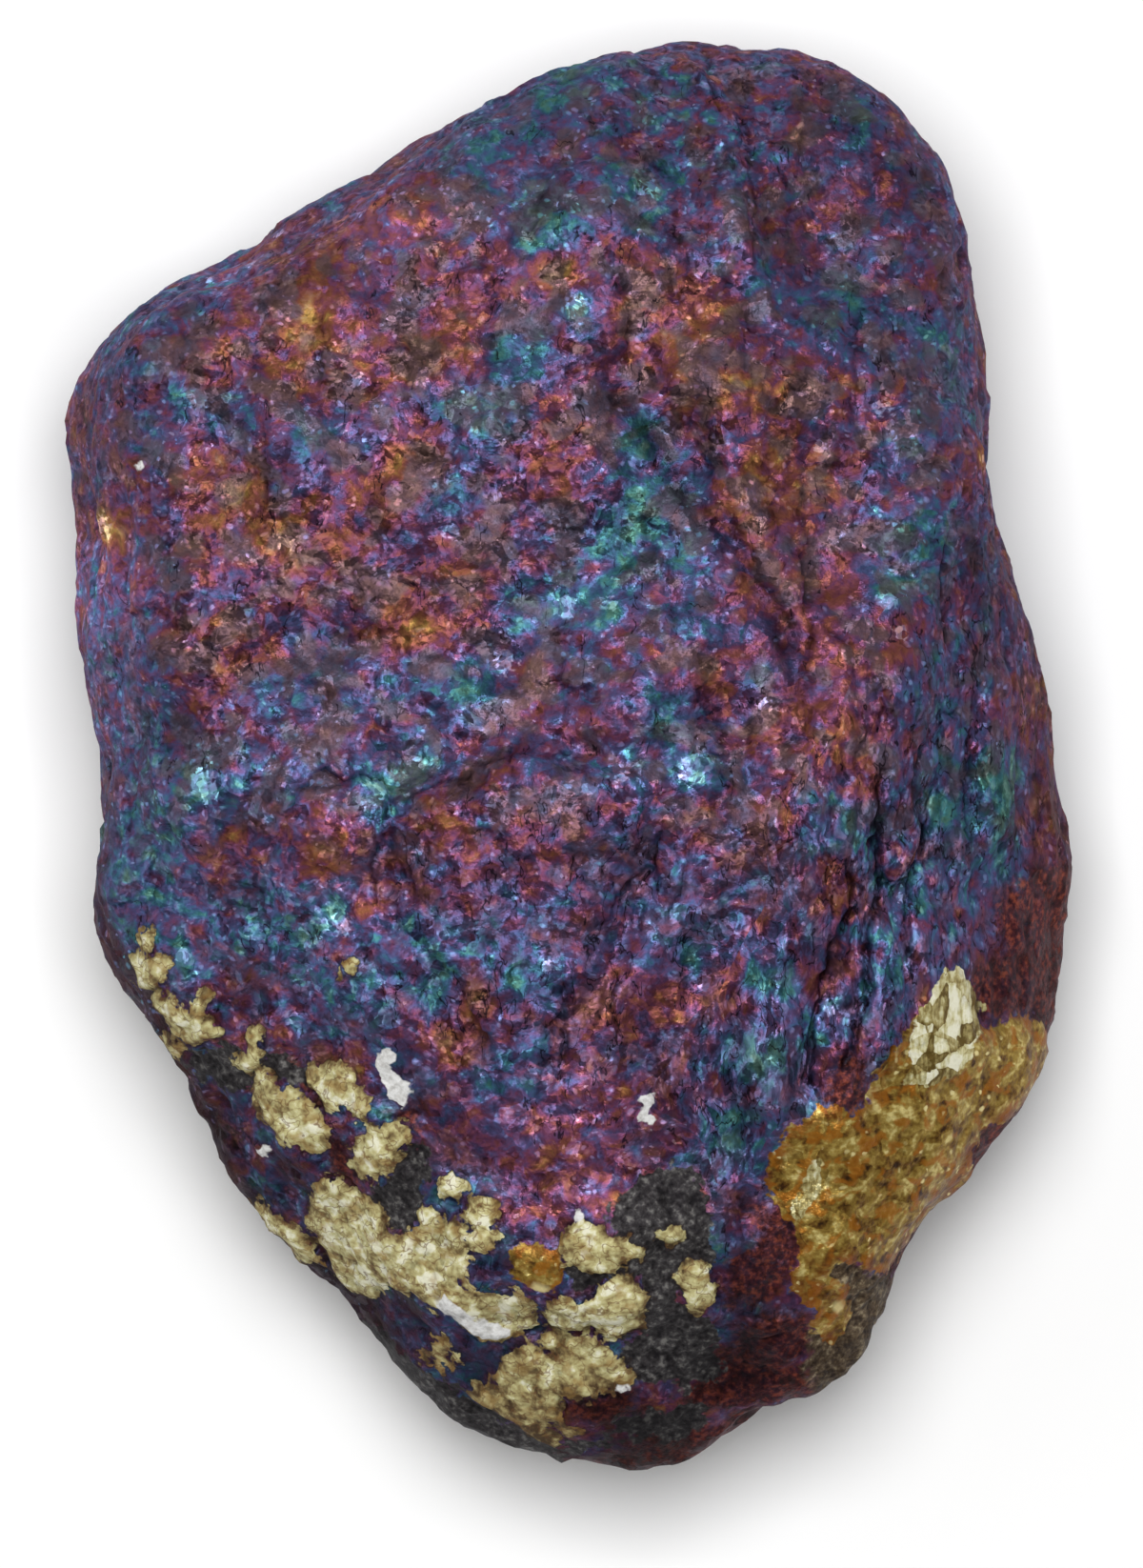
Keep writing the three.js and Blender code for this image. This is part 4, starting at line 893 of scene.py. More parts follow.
    def away_from(self, place: Blotch | Glint, drop: float) -> np.ndarray:
        """How far each point lies from a listed spot, counting part of the way down a steep side.

        Args:
            place: The spot, which lies on the surface.
            drop: The part of the height difference that counts.

        Returns:
            One distance in millimetres for each point.
        """
        away = Plan.away(self.plan, place.x, place.y)
        floor = self.upper_band[1]
        heights = self.points[(away < self.near_spot) & (self.points[:, 2] > floor), 2]
        level = np.median(heights) if len(heights) else floor
        return np.hypot(away, drop * (self.points[:, 2] - level))

    def crust_field(self, crust: Crust) -> np.ndarray:
        """How far inside a kind of crust each point lies.

        Args:
            crust: The kind of crust.

        Returns:
            Signed distances in millimetres, above zero inside.
        """
        found = np.full(len(self.points), self.far_outside)
        for outline in MASSES.get(crust, ()):
            np.maximum(found, Plan.inside_outline(self.plan, outline), out=found)
        for spot in SPOTS.get(crust, ()):
            np.maximum(found, Plan.inside_spot(self.plan, spot), out=found)
        if crust is Crust.PALE:
            found += self.pale_growth
        return found * self.upper + self.under_crust(crust) * (1 - self.upper)

    def under_crust(self, crust: Crust) -> np.ndarray:
        """The same below the rim, where the crust follows broad noise and the matrix end."""
        under = UNDER_CRUSTS.get(crust)
        if under is None:
            return np.full(len(self.points), self.far_outside)
        matrix = (self.points[:, :2] @ np.array(MATRIX_WAY)) / MATRIX_AWAY
        return under.gain * (
            Grain.layers(self.points, *under.layers) - under.level + under.towards_matrix * matrix
        )

    def lay_film(self) -> None:
        """Works out the tarnish film, its partly painted light and shade, and how much its grains differ.
        """
        total = self.drift_weight * (self.drift_middle + Grain.layers(self.points, *self.drift))
        weights = np.full(len(self.points), self.drift_weight)
        self.light = np.ones(len(self.points))
        for film, blotches in BLOTCHES.items():
            for blotch in blotches:
                away = self.away_from(blotch, self.blotch_drop) / blotch.radius
                share = np.exp(-(away**2)) * self.upper
                weight = self.blotch_gain * blotch.weight * share
                total += weight * film.value
                weights += weight
                self.light *= 1 + (blotch.light - 1) * share
        under = self.under_middle + Grain.layers(self.points, *self.under_drift)
        self.film = total / weights * self.upper + under * (1 - self.upper)
        self.light *= self.patches(SHADES, self.shade_band)
        self.lively = self.patches(LIVELY, self.lively_band)

    def patches(self, shades: tuple[Shade, ...], band: Band) -> np.ndarray:
        """Multiplies the factors of soft patches.

        Args:
            shades: The patches.
            band: Parts of a patch's radius over which it dies out.

        Returns:
            One factor for each point.
        """
        product = np.ones(len(self.points))
        for shade in shades:
            away = Plan.away(self.plan, shade.x, shade.y) / shade.radius
            product *= 1 + (shade.factor - 1) * (1 - Plan.smooth(away, *band)) * self.upper
        return product

    def set_glints(self) -> None:
        """Works out how far each point takes a painted highlight on a cleavage face."""
        self.glint = np.zeros(len(self.points))
        for glint in GLINTS:
            away = self.away_from(glint, self.glint_drop) / glint.radius
            spot = glint.shine * (1 - Plan.smooth(away, *self.glint_band))
            np.maximum(self.glint, spot * self.upper, out=self.glint)

    def lay_cracks(self) -> None:
        """Works out how far each point lies in a crack, and how deep the crack is there."""
        self.crack = np.zeros(len(self.points))
        self.crack_depth = np.zeros(len(self.points))
        for crack in CRACKS:
            away = Plan.path_distance(self.plan, crack.path)
            cut = (1 - Plan.smooth(away, 0.0, self.crack_reach * crack.width)) * self.upper
            np.maximum(self.crack, cut * min(1.0, crack.depth / FULL_CRACK), out=self.crack)
            np.maximum(self.crack_depth, cut * crack.depth, out=self.crack_depth)

    def hackle(self, points: np.ndarray) -> np.ndarray:
        """Heights of the broken ore: evenly broken on the plateau, drawn out along the flank.

        Args:
            points: Points in millimetres.

        Returns:
            One height for each point, about zero on average.
        """
        shifts = [Grain.soft(points, self.crease_size, salt) for salt in self.crease_salts]
        points = points + self.crease_shift * np.stack(shifts, axis=1)
        evenly = points * np.array(self.even_stretch)
        lengthwise = points @ self.flank_turn() * np.array(self.flank_stretch)
        total = np.zeros(len(points))
        for hackle in self.hackles:
            size, salt, crown = hackle.size, hackle.salt, self.grain_crown
            even = Grain.facets(evenly, size, self.even_tilt, crown, salt)
            drawn = Grain.facets(lengthwise, size, self.flank_tilt, crown, salt + self.flank_salt)
            total += hackle.height * (even * (1 - self.streak) + self.flank_rise * drawn * self.streak)
        return total - total.mean()

    def flank_turn(self) -> np.ndarray:
        """Turns the way in which the flank's flakes are drawn out onto Y."""
        angle = math.radians(self.flank_lean)
        cosine, sine = math.cos(angle), math.sin(angle)
        return np.array([[cosine, sine, 0.0], [-sine, cosine, 0.0], [0.0, 0.0, 1.0]])

    def relief(self) -> np.ndarray:
        """How far each point is raised or sunk by grains, crusts and cracks, in millimetres."""
        points, crusts = self.points, self.crusts
        pale = Plan.smooth(crusts[Crust.PALE], *self.pale_edge)
        dark = np.maximum(crusts[Crust.SOOTY], crusts[Crust.EARTHY])
        sooty = Plan.smooth(dark, *self.sooty_edge) * (1 - pale)
        gold = np.maximum(crusts[Crust.BRASS], crusts[Crust.FLAKE])
        brass = Plan.smooth(gold, *self.brass_edge) * (1 - pale)
        chalk = Plan.smooth(crusts[Crust.CHALK], *self.chalk_edge)

        calm = self.pale_calm * pale + self.sooty_calm * sooty * (1 - pale) + self.brass_calm * brass
        height = self.hackle(points) * (1 - calm)
        height += Grain.layers(points, self.fine_grit)
        height += pale * (Grain.layers(points, *self.pale_grit) + self.pale_bed)
        height += self.pale_rise * Plan.smooth(crusts[Crust.PALE], *self.pale_rise_edge)
        height += self.chalk_rise * chalk + self.brass_rise * brass
        height += sooty * (Grain.layers(points, self.sooty_grit) - self.sooty_sink)
        return height - self.crack_depth * (1 - pale)

    def carve(self) -> None:
        """Softens the solid's facets, breaks up the surface, and brings it back to the solid's box."""
        resting = self.points[:, 2] < self.rest_height
        self.points = self.average(self.points, self.soften_rounds)
        self.points = self.points + self.normals() * self.relief()[:, None]
        self.points[resting, 2] = 0.0
        self.points[:, 2] = np.maximum(self.points[:, 2], 0.0)
        low, high = self.points.min(axis=0), self.points.max(axis=0)
        self.points = (self.points - low) / (high - low) * (self.high - self.low) + self.low

    def find_hollows(self) -> None:
        """How far each point lies in a crevice, in a hollow, on a steep side and in the rim's painted
        shade.
        """
        outward = self.normals()
        near = self.average(self.points, self.crevice_rounds)
        far = self.average(near, self.hollow_rounds)
        self.crevice = np.einsum("ij,ij->i", near - self.points, outward) / self.crevice_depth
        self.hollow = np.einsum("ij,ij->i", far - near, outward) / self.hollow_depth
        facing = self.average(outward, self.hollow_rounds)
        facing /= np.linalg.norm(facing, axis=1, keepdims=True)
        self.steep = 1 - Plan.smooth(facing[:, 2], *self.upright_band)
        towards_foot = Plan.smooth(-self.points[:, 1], *self.rim_shade_reach)
        self.rim = Plan.smooth(self.steep, *self.rim_shade_steep) * towards_foot

    def fields(self) -> dict[str, np.ndarray]:
        """The numbers that the finish reads off the mesh, by name.

        Returns:
            One number for each point: for each kind of crust how far inside it the point lies; the
            tarnish film and its light, partly painted light and shade; how lively its grains are, how
            riven and how streaked it is; and how far it lies on a painted glint, in a crack, crevice or
            hollow, on a steep side or in the rim's painted shade.
        """
        names = ("film", "light", "lively", "riven", "streak", "glint", "crack")
        names += ("crevice", "hollow", "steep", "rim")
        return {
            **{crust.value: self.crusts[crust] for crust in Crust},
            **{name: getattr(self, name) for name in names},
        }

    def build(self) -> bpy.types.Object:
        """Makes the stone's mesh object with its fields.

        Returns:
            The new object, in metres.
        """
        self.read_solid()
        self.lay_out()
        self.carve()
        self.find_hollows()
        mesh = bpy.data.meshes.new(self.name)
        mesh.from_pydata((self.points * MM).tolist(), [], self.faces.tolist())
        mesh.polygons.foreach_set("use_smooth", np.ones(len(self.faces), bool))
        for name, values in self.fields().items():
            layer = mesh.attributes.new(name, "FLOAT", "POINT")
            layer.data.foreach_set("value", values.astype(np.float32))
        mesh.update()
        stone = bpy.data.objects.new(self.name, mesh)
        bpy.context.scene.collection.objects.link(stone)
        return stone

    def dress(self, stone: bpy.types.Object, material: bpy.types.Material) -> None:
        """Gives the stone its material and puts it in the solid's place."""
        stone.data.materials.append(material)
        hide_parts(self.node)
        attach(stone, "root")


# ---------------------------------------------------------------------------
# Colours
# ---------------------------------------------------------------------------


def tone(red: int, green: int, blue: int, gain: float = 1.0) -> Colour:
    """Turns a screen colour into the shader's linear one.

    Args:
        red: Red from 0 to 255.
        green: Green from 0 to 255.
        blue: Blue from 0 to 255.
        gain: Factor on the linear colour.

    Returns:
        The linear colour with full alpha.
    """
    linear = [
        (c / 255 / 12.92 if c / 255 <= 0.04045 else ((c / 255 + 0.055) / 1.055) ** 2.4) * gain
        for c in (red, green, blue)
    ]
    return (*(min(c, 1.0) for c in linear), 1.0)


def tones(*rows: tuple[float, int, int, int], gain: float = 1.0) -> Stops:
    """Turns rows of a position and a screen colour into the stops of a ramp."""
    return tuple((position, tone(*colour, gain=gain)) for position, *colour in rows)


FILM_GAIN = 1.08
FILM_STOPS = tones(
    (0.00, 147, 112, 49),
    (0.10, 129, 83, 46),
    (0.19, 119, 68, 46),
    (0.28, 112, 59, 56),
    (0.36, 106, 54, 69),
    (0.43, 100, 54, 86),
    (0.50, 86, 59, 94),
    (0.58, 76, 66, 107),
    (0.66, 63, 77, 119),
    (0.75, 50, 92, 118),
    (0.84, 48, 105, 110),
    (0.94, 61, 107, 96),
    gain=FILM_GAIN,
)
SHINE_STOPS = (
    (0.0, (0.30, 0.30, 0.38, 1.0)),
    (0.5, (0.85, 0.85, 0.85, 1.0)),
    (1.0, (1.4, 1.4, 1.4, 1.0)),
)
GLARE = (0.62, 0.74, 0.86, 1.0)
HAZE = tone(84, 72, 76, FILM_GAIN)
# Painted shade in thin crevices.
SEAM_SHADE = tone(20, 15, 24)
# Painted shade on the steep rim towards the foot.
RIM_SHADE = tone(54, 30, 24)
# Painted contact shadow round the pale crust.
LIP_SHADOW = tone(34, 24, 22)
STAIN = tone(142, 112, 62)
VEIN = tone(98, 68, 42)
RUST = tone(150, 92, 24)
RUSTY_EDGE = tone(122, 66, 22)
BRASS_HIGHLIGHT = tone(236, 222, 160)


@dataclass(frozen=True)
class CrustLook:
    """A crust's colours from dark to light, its metalness and roughness, and its edge.

    Attributes:
        stops: The colours.
        metalness: How metallic it is.
        roughness: How rough it is.
        soft: How far its edge fades either way, in millimetres.
        fray: How much its edge frays.
    """

    stops: Stops
    metalness: float
    roughness: float
    soft: float
    fray: float


LOOKS = {
    Crust.MAROON: CrustLook(
        tones((0.28, 24, 9, 9), (0.5, 66, 28, 25), (0.72, 128, 62, 42)), 0.45, 0.5, 0.5, 1.0
    ),
    Crust.SOOTY: CrustLook(
        tones((0.28, 21, 20, 20), (0.44, 42, 40, 40), (0.58, 62, 60, 60), (0.74, 106, 104, 101)),
        0.0, 0.7, 0.12, 1.5,
    ),
    Crust.EARTHY: CrustLook(
        tones((0.28, 34, 25, 16), (0.44, 66, 53, 38), (0.58, 94, 80, 62), (0.74, 146, 132, 106)),
        0.0, 0.7, 0.3, 1.0,
    ),
    Crust.BRASS: CrustLook(
        tones(
            (0.24, 52, 34, 16), (0.37, 98, 70, 28), (0.50, 130, 104, 46), (0.63, 156, 132, 66),
            (0.80, 204, 188, 122),
        ),
        0.5, 0.42, 0.08, 1.0,
    ),
    Crust.FLAKE: CrustLook(
        tones((0.32, 96, 78, 36), (0.44, 158, 144, 92), (0.54, 204, 198, 152), (0.66, 232, 230, 206)),
        0.45, 0.4, 0.05, 0.7,
    ),
    Crust.PALE: CrustLook(
        tones(
            (0.20, 70, 54, 34), (0.31, 116, 100, 66), (0.42, 157, 146, 100), (0.53, 186, 180, 132),
            (0.66, 216, 214, 190),
        ),
        0.0, 0.85, 0.05, 1.0,
    ),
    Crust.CHALK: CrustLook(tones((0.3, 176, 174, 170), (0.6, 216, 216, 214)), 0.0, 0.8, 0.05, 0.4),
}


# ---------------------------------------------------------------------------
# Finishes
# ---------------------------------------------------------------------------


@dataclass(frozen=True)
class Noise:
    """A soft noise of the finish: its features to the millimetre, its detail and its roughness."""

    per_mm: float
    detail: float
    roughness: float


class Bench:
    """Adds shader nodes to one material and joins them."""

    def __init__(self, name: str) -> None:
        """Makes an empty material.

        Args:
            name: The material's name.
        """
        self.material = bpy.data.materials.new(name)
        self.material.use_nodes = True
        self.tree = self.material.node_tree
        self.tree.nodes.clear()

    def add(self, kind: str, inputs: dict | None = None, **settings: object) -> bpy.types.Node:
        """Adds a node.

        Args:
            kind: The node's type without its ShaderNode prefix.
            inputs: Values or sockets by input name or number.
            settings: The node's own properties.

        Returns:
            The new node.
        """
        node = self.tree.nodes.new("ShaderNode" + kind)
        for key, value in settings.items():
            setattr(node, key, value)
        for key, value in (inputs or {}).items():
            self.feed(node.inputs[key], value)
        return node

    def feed(self, socket: Socket, value: object) -> None:
        """Links a socket into an input, or sets the input's value."""
        if isinstance(value, Socket):
            self.tree.links.new(value, socket)
        else:
            socket.default_value = value

    def math(self, operation: str, *values: object, clamp: bool = False) -> Socket:
        """Works out one number from up to three."""
        node = self.add("Math", dict(enumerate(values)), operation=operation, use_clamp=clamp)
        return node.outputs[0]

    def times(self, first: object, second: object, clamp: bool = False) -> Socket:
        """Multiplies two numbers."""
        return self.math("MULTIPLY", first, second, clamp=clamp)

    def most(self, first: object, second: object, clamp: bool = False) -> Socket:
        """Takes the higher of two numbers."""
        return self.math("MAXIMUM", first, second, clamp=clamp)

    def line(self, value: object, slope: object, start: object) -> Socket:
        """Works out a start and a slope times a number."""
        return self.math("MULTIPLY_ADD", value, slope, start)

    def rest(self, share: object) -> Socket:
        """What a share leaves of 1."""
        return self.math("SUBTRACT", 1.0, share)

    def scaled(self, value: object, *changes: tuple[object, float]) -> Socket:
        """Scales a number by 1 and a gain times a share, for each share and gain."""
        for share, gain in changes:
            value = self.times(value, self.line(share, gain, 1.0))
        return value

    def drift(self, start: object, *drifts: tuple[object, object]) -> Socket:
        """Adds centred noises to a number, each with its own reach."""
        for noise, reach in drifts:
            start = self.line(self.math("SUBTRACT", noise, 0.5), reach, start)
        return start

    def near_half(self, noise: object, far: float, near: float) -> Socket:
        """Draws a thin line where a noise passes its middle."""
        return self.step(self.math("ABSOLUTE", self.math("SUBTRACT", noise, 0.5)), far, near)

    def vector(self, operation: str, *values: object, scale: object = None) -> Socket:
        """Works out one vector from up to three and a scale."""
        node = self.add("VectorMath", dict(enumerate(values)), operation=operation)
        if scale is not None:
            self.feed(node.inputs["Scale"], scale)
        return node.outputs[0]

    def stretched(self, place: Socket, lean: float, scale: Triple) -> Socket:
        """Turns places about the upright, in radians, and scales them."""
        inputs = {"Vector": place, "Rotation": (0.0, 0.0, lean), "Scale": scale}
        return self.add("Mapping", inputs).outputs[0]

    def lengthwise(self, place: Socket) -> Socket:
        """How far along the stone's long way a place lies."""
        return self.add("SeparateXYZ", {0: place}).outputs["Y"]

    def channels(self, colour: Socket) -> list[Socket]:
        """Splits a colour into its three channels."""
        return list(self.add("SeparateColor", {0: colour}).outputs)[:3]

    def mix(self, share: object, first: object, second: object, blend: str = "MIX") -> Socket:
        """Mixes two colours."""
        node = self.add("Mix", data_type="RGBA", blend_type=blend)
        for key, value in (("Factor", share), ("A", first), ("B", second)):
            self.feed(node.inputs[key], value)
        return node.outputs["Result"]

    def lit(self, colour: object, light: object) -> Socket:
        """Multiplies a colour by a number."""
        return self.mix(1.0, colour, self.grey(light), "MULTIPLY")

    def grey(self, value: object) -> Socket:
        """Turns a number into a grey."""
        return self.add("CombineColor", {0: value, 1: value, 2: value}).outputs[0]

    def blend(self, share: object, first: object, second: object) -> Socket:
        """Mixes two numbers."""
        node = self.add("Mix", data_type="FLOAT")
        for key, value in (("Factor", share), ("A", first), ("B", second)):
            self.feed(node.inputs[key], value)
        return node.outputs["Result"]

    def noise(self, place: object, noise: Noise) -> bpy.types.Node:
        """Adds soft noise over places in millimetres."""
        values = {"Vector": place, "Scale": noise.per_mm}
        values |= {"Detail": noise.detail, "Roughness": noise.roughness}
        return self.add("TexNoise", values, noise_dimensions="3D")

    def cells(self, place: object, per_mm: float) -> bpy.types.Node:
        """Adds broken cells with so many to the millimetre."""
        values = {"Vector": place, "Scale": per_mm, "Randomness": 1.0}
        return self.add("TexVoronoi", values, voronoi_dimensions="3D", feature="F1")

    def attribute(self, name: str) -> Socket:
        """Reads a number that the mesh carries."""
        return self.add("Attribute", attribute_name=name).outputs["Fac"]

    def step(self, value: object, low: float, high: float) -> Socket:
        """Rises smoothly from 0 at low to 1 at high."""
        node = self.add("MapRange", {0: value, 1: low, 2: high, 3: 0.0, 4: 1.0})
        node.interpolation_type = "SMOOTHSTEP"
        return node.outputs[0]

    def ramp(self, value: object, stops: Stops) -> Socket:
        """Turns a number into a colour by stops."""
        node = self.add("ValToRGB", {0: value})
        elements = node.color_ramp.elements
        while len(elements) < len(stops):
            elements.new(0.5)
        for element, (position, _) in zip(elements, stops):
            element.position = position
        for element, (_, colour) in zip(elements, stops):
            element.color = colour
        return node.outputs[0]


@dataclass(frozen=True)
class Breakage:
    """Sockets that say how the surface is broken up at a place.

    Attributes:
        fine: Fine noise, by which the surface tilts.
        grain: The colour of the grain at the place, by which it tilts.
        speck: The same for the speck.
        dust: The same for the dust.
        core: 1 in the middle of a speck.
        crumb: Noise for the crusts.
        seam: 1 within a thin crevice.
        rind: 1 along the border of a grain.
        broads: Three noises in broad drifts.
        fines: Three fine noises.
        grains: Three numbers of the grain at the place.
        specks: Three numbers of the speck at the place.
        dusts: Three numbers of the dust at the place.
    """

    fine: Socket
    grain: Socket
    speck: Socket
    dust: Socket
    core: Socket
    crumb: Socket
    seam: Socket
    rind: Socket
    broads: list[Socket]
    fines: list[Socket]
    grains: list[Socket]
    specks: list[Socket]
    dusts: list[Socket]


@dataclass(frozen=True)
class OreFinish:
    """The stone's one finish: tarnished ore with pale, chalky, sooty, brassy and maroon crusts."""

    name: str = "peacock_tarnish"

    # The noises, and the grains, specks and dusts to the millimetre.
    slow_noise: Noise = Noise(0.5, 1.0, 0.5)
    stir_noise: Noise = Noise(0.6, 1.0, 0.5)
    broads_noise: Noise = Noise(1.1, 2.0, 0.54)
    fines_noise: Noise = Noise(3.2, 1.0, 0.6)
    crumbs_noise: Noise = Noise(2.8, 2.0, 0.6)
    grit_noise: Noise = Noise(4.5, 2.0, 0.6)
    fray_noise: Noise = Noise(1.5, 2.4, 0.55)
    seam_noise: Noise = Noise(0.6, 3.0, 0.55)
    rib_noise: Noise = Noise(1.6, 3.0, 0.6)
    grains_per_mm: float = 1.3
    specks_per_mm: float = 3.4
    dusts_per_mm: float = 7.0

    # How the places of the grains, seams and ribs are stirred, stretched and turned.
    stir: Triple = (0.8, 0.8, 0.8)
    ragged: Triple = (0.16, 0.16, 0.16)
    even_scale: Triple = (0.94, 1.06, 0.6)
    even_lean: float = -0.5
    drawn_scale: Triple = (1.25, 0.74, 0.6)
    drawn_lean: float = 0.12
    seam_scale: Triple = (1.5, 0.6, 1.0)
    seam_lean: float = 0.15
    rib_scale: Triple = (2.6, 0.5, 1.0)
    rib_lean: float = -0.15

    # From where the grains are drawn out, and over which bands specks, grain borders and seams show.
    drawn_from: float = 0.5
    core_band: Band = (0.66, 0.24)
    rind_band: Band = (0.40, 0.80)
    seam_line: Band = (0.018, 0.004)
    seam_riven: float = 0.11
    seam_common: Band = (0.57, 0.63)

    # How far slow noise, fine noise, grains and specks shift the film, and how broad drifts do.
    film_slow: float = 0.4
    film_fine: float = 0.07
    film_grain: float = 0.14
    film_speck: float = 0.02
    swing_least: float = 0.45
    swing_lively: float = 0.5

    # How far, in doublings, broad drifts, fine noise, grains, specks and dusts change the light.
    light_broad: float = 1.42
    light_fine: float = 1.25
    light_grain: float = 0.66
    light_speck: float = 0.84
    light_dust: float = 0.36
    light_calm: float = 0.45
    light_rough: float = 0.75
    light_steep: float = 0.5
    calm_band: Band = (0.58, 0.42)
    # Painted sheen: grains are greyed a little everywhere and most where brightest.
    sheen_least: float = 0.10
    sheen_bright: float = 0.28
    sheen_band: Band = (1.0, 2.2)

    # Grey haze over the film, less of it where the surface is steep and towards the foot.
    haze_share: float = 0.68
    haze_band: Band = (0.48, 0.60)
    haze_drift: float = 0.35
    haze_light: Band = (1.9, 1.1)
    haze_steep: float = -0.7
    haze_foot: float = -0.6
    haze_foot_band: Band = (0.0, -8.0)

    # Painted highlights on specks, dusts and cleavage faces: in which part of the drifts and specks they
    # show, and how they look.
    spark_drift: float = 0.1
    spark_band: Band = (0.47, 0.60)
    spark_lively: Band = (0.76, 0.98)
    spark_anywhere: Band = (0.95, 0.99)
    dust_glint_band: Band = (0.965, 0.99)
    face_speck: float = 0.7
    face_fine: float = 2.0
    face_band: Band = (0.40, 0.85)
    face_edge: Band = (0.02, 0.2)
    spark_gain: float = 2.5
    spark_white: float = 0.16
    glint_white: float = 0.25
    spark_share: float = 0.7
    dust_glint_share: float = 0.55
    glint_share: float = 0.95

    # Shares of painted shade in thin seams and on the rim, and of painted contact shadow round the pale
    # crust.
    seam_shade_share: float = 0.85
    rim_shade_share: float = 0.85
    lip_shadow_share: float = 0.6
    lip_shadow_band: Band = (-0.22, -0.02)
    fray_reach: float = 1.4
    maroon_share: float = 0.92

    # How far broad drifts and specks shift the maroon and the sooty and earthy crusts.
    maroon_broad: float = 0.4
    matrix_speck: float = 0.10
    matrix_broad: float = 0.5

    # The flake's middle shade, and how far ribs, crumbs, grains, specks and grain borders shift it.
    flake_middle: float = 0.52
    flake_rib: float = 0.5
    flake_crumb: float = 0.3
    flake_grain: float = 0.34
    flake_speck: float = 0.05
    flake_rind: float = -0.1

    # The same for the pale crust, with its foot, its inner part, its stains and its veins.
    pale_middle: float = 0.375
    pale_crumb: float = 0.44
    pale_broad: float = 0.8
    pale_grain: float = 0.14
    pale_speck: float = 0.05
    # Grain borders darker: partly the crust's own colour, partly painted shade between lumps.
    pale_rind: float = -0.12
    pale_foot: float = -0.17
    pale_foot_band: Band = (-29.5, -34.0)
    pale_inner: float = 0.18
    pale_inner_band: Band = (-0.1, 0.6)
    stain_share: float = 0.5
    stain_band: Band = (0.52, 0.66)
    vein_share: float = 0.65
    vein_line: Band = (0.024, 0.006)

    # The same for the brassy ore, with its rust, its rusty edge and painted highlights on its specks.
    brass_middle: float = 0.53
    brass_crumb: float = 0.65
    brass_fine: float = 0.15
    brass_grain: float = 0.22
    brass_broad: float = 0.9
    rust_share: float = 0.75
    rust_band: Band = (0.50, 0.62)
    rusty_edge_share: float = 0.75
    rusty_edge_reach: Band = (1.1, -0.1)
    rusty_edge_band: Band = (0.40, 0.58)
    brass_spark_share: float = 0.8
    brass_spark_band: Band = (0.94, 0.99)

    # How much crevices, hollows, ridges and cracks change the surface's light.
    crevice_shade: float = -0.34
    crevice_band: Band = (0.1, 1.7)
    hollow_shade: float = -0.08
    hollow_band: Band = (-0.1, 1.8)
    ridge_light: float = 0.10
    ridge_band: Band = (0.0, -1.6)
    crack_shade: float = -0.72

    # Metalness and roughness of the ore where it faces up, and what a steep side changes.
    metal_steep: float = 0.5
    metal_facing: float = 0.25
    rough_steep: float = 0.52
    rough_facing: float = -0.1
    rough_grain: float = 0.2
    gloss: float = 0.25
    edge_tint: Colour = (0.42, 0.36, 0.46, 1.0)

    # How far grains, specks, dusts and fine noise tilt the surface, and how deep its grit is.
    grain_lean: float = 0.40
    speck_lean: float = 0.30
    dust_lean: float = 0.12
    fine_lean: float = 0.30
    sooty_dull: float = 0.6
    brass_dull: float = 0.55
    grit_depth: float = 0.12
    grit_strength: float = 0.8
    grit_bright: float = 0.4
    grit_dull: float = 0.25

    def build(self) -> bpy.types.Material:
        """Makes the material.

        Returns:
            The material, which reads the fields that the stone's mesh carries.
        """
        b = Bench(self.name)
        place = b.vector("SCALE", b.add("TexCoord").outputs["Object"], scale=1 / MM)
        broken = self.breakage(b, place)
        frayed = b.drift(0.0, (b.noise(place, self.fray_noise).outputs["Fac"], self.fray_reach))
        masks = self.masks(b, frayed)
        chalky = b.most(masks[Crust.PALE], masks[Crust.CHALK])

        colour = self.ore_colour(b, place, broken)
        facing = b.rest(b.attribute("steep"))
        metal = b.line(facing, self.metal_facing, self.metal_steep)
        rough = b.line(facing, self.rough_facing, self.rough_steep)
        rough = b.line(broken.grains[1], self.rough_grain, rough)
        for crust in Crust:
            # Before the brass, the colour takes the light field: partly tone, partly painted light and
            # shade.
            if crust is Crust.BRASS:
                colour = b.lit(colour, b.attribute("light"))
            look = LOOKS[crust]
            colour = b.mix(masks[crust], colour, self.crust_colour(b, crust, place, broken))
            metal = b.blend(masks[crust], metal, look.metalness)
            rough = b.blend(masks[crust], rough, look.roughness)
        # Painted contact shadow round the pale crust.
        lip_shadow = b.step(b.line(frayed, 1.0, b.attribute(Crust.PALE.value)), *self.lip_shadow_band)
        lip_shadow = b.times(lip_shadow, b.rest(chalky))
        colour = b.mix(b.times(lip_shadow, self.lip_shadow_share), colour, LIP_SHADOW)
        colour = b.lit(colour, self.shading(b))

        dull = b.most(chalky, b.times(masks[Crust.SOOTY], self.sooty_dull))
        dull = b.most(dull, b.times(masks[Crust.BRASS], self.brass_dull))
        grit = b.noise(place, self.grit_noise).outputs["Fac"]
        bumps = {
            "Height": b.times(grit, b.line(dull, self.grit_dull, self.grit_bright)),
            "Normal": self.broken_normal(b, broken, b.rest(dull)),
            "Distance": self.grit_depth * MM,
            "Strength": self.grit_strength,
        }
        surface = {
            "Base Color": colour,
            "Metallic": metal,
            "Roughness": rough,
            "Normal": b.add("Bump", bumps).outputs[0],
            "Specular IOR Level": self.gloss,
            "Specular Tint": self.edge_tint,
        }
        b.add("OutputMaterial", {"Surface": b.add("BsdfPrincipled", surface).outputs[0]})
        return b.material

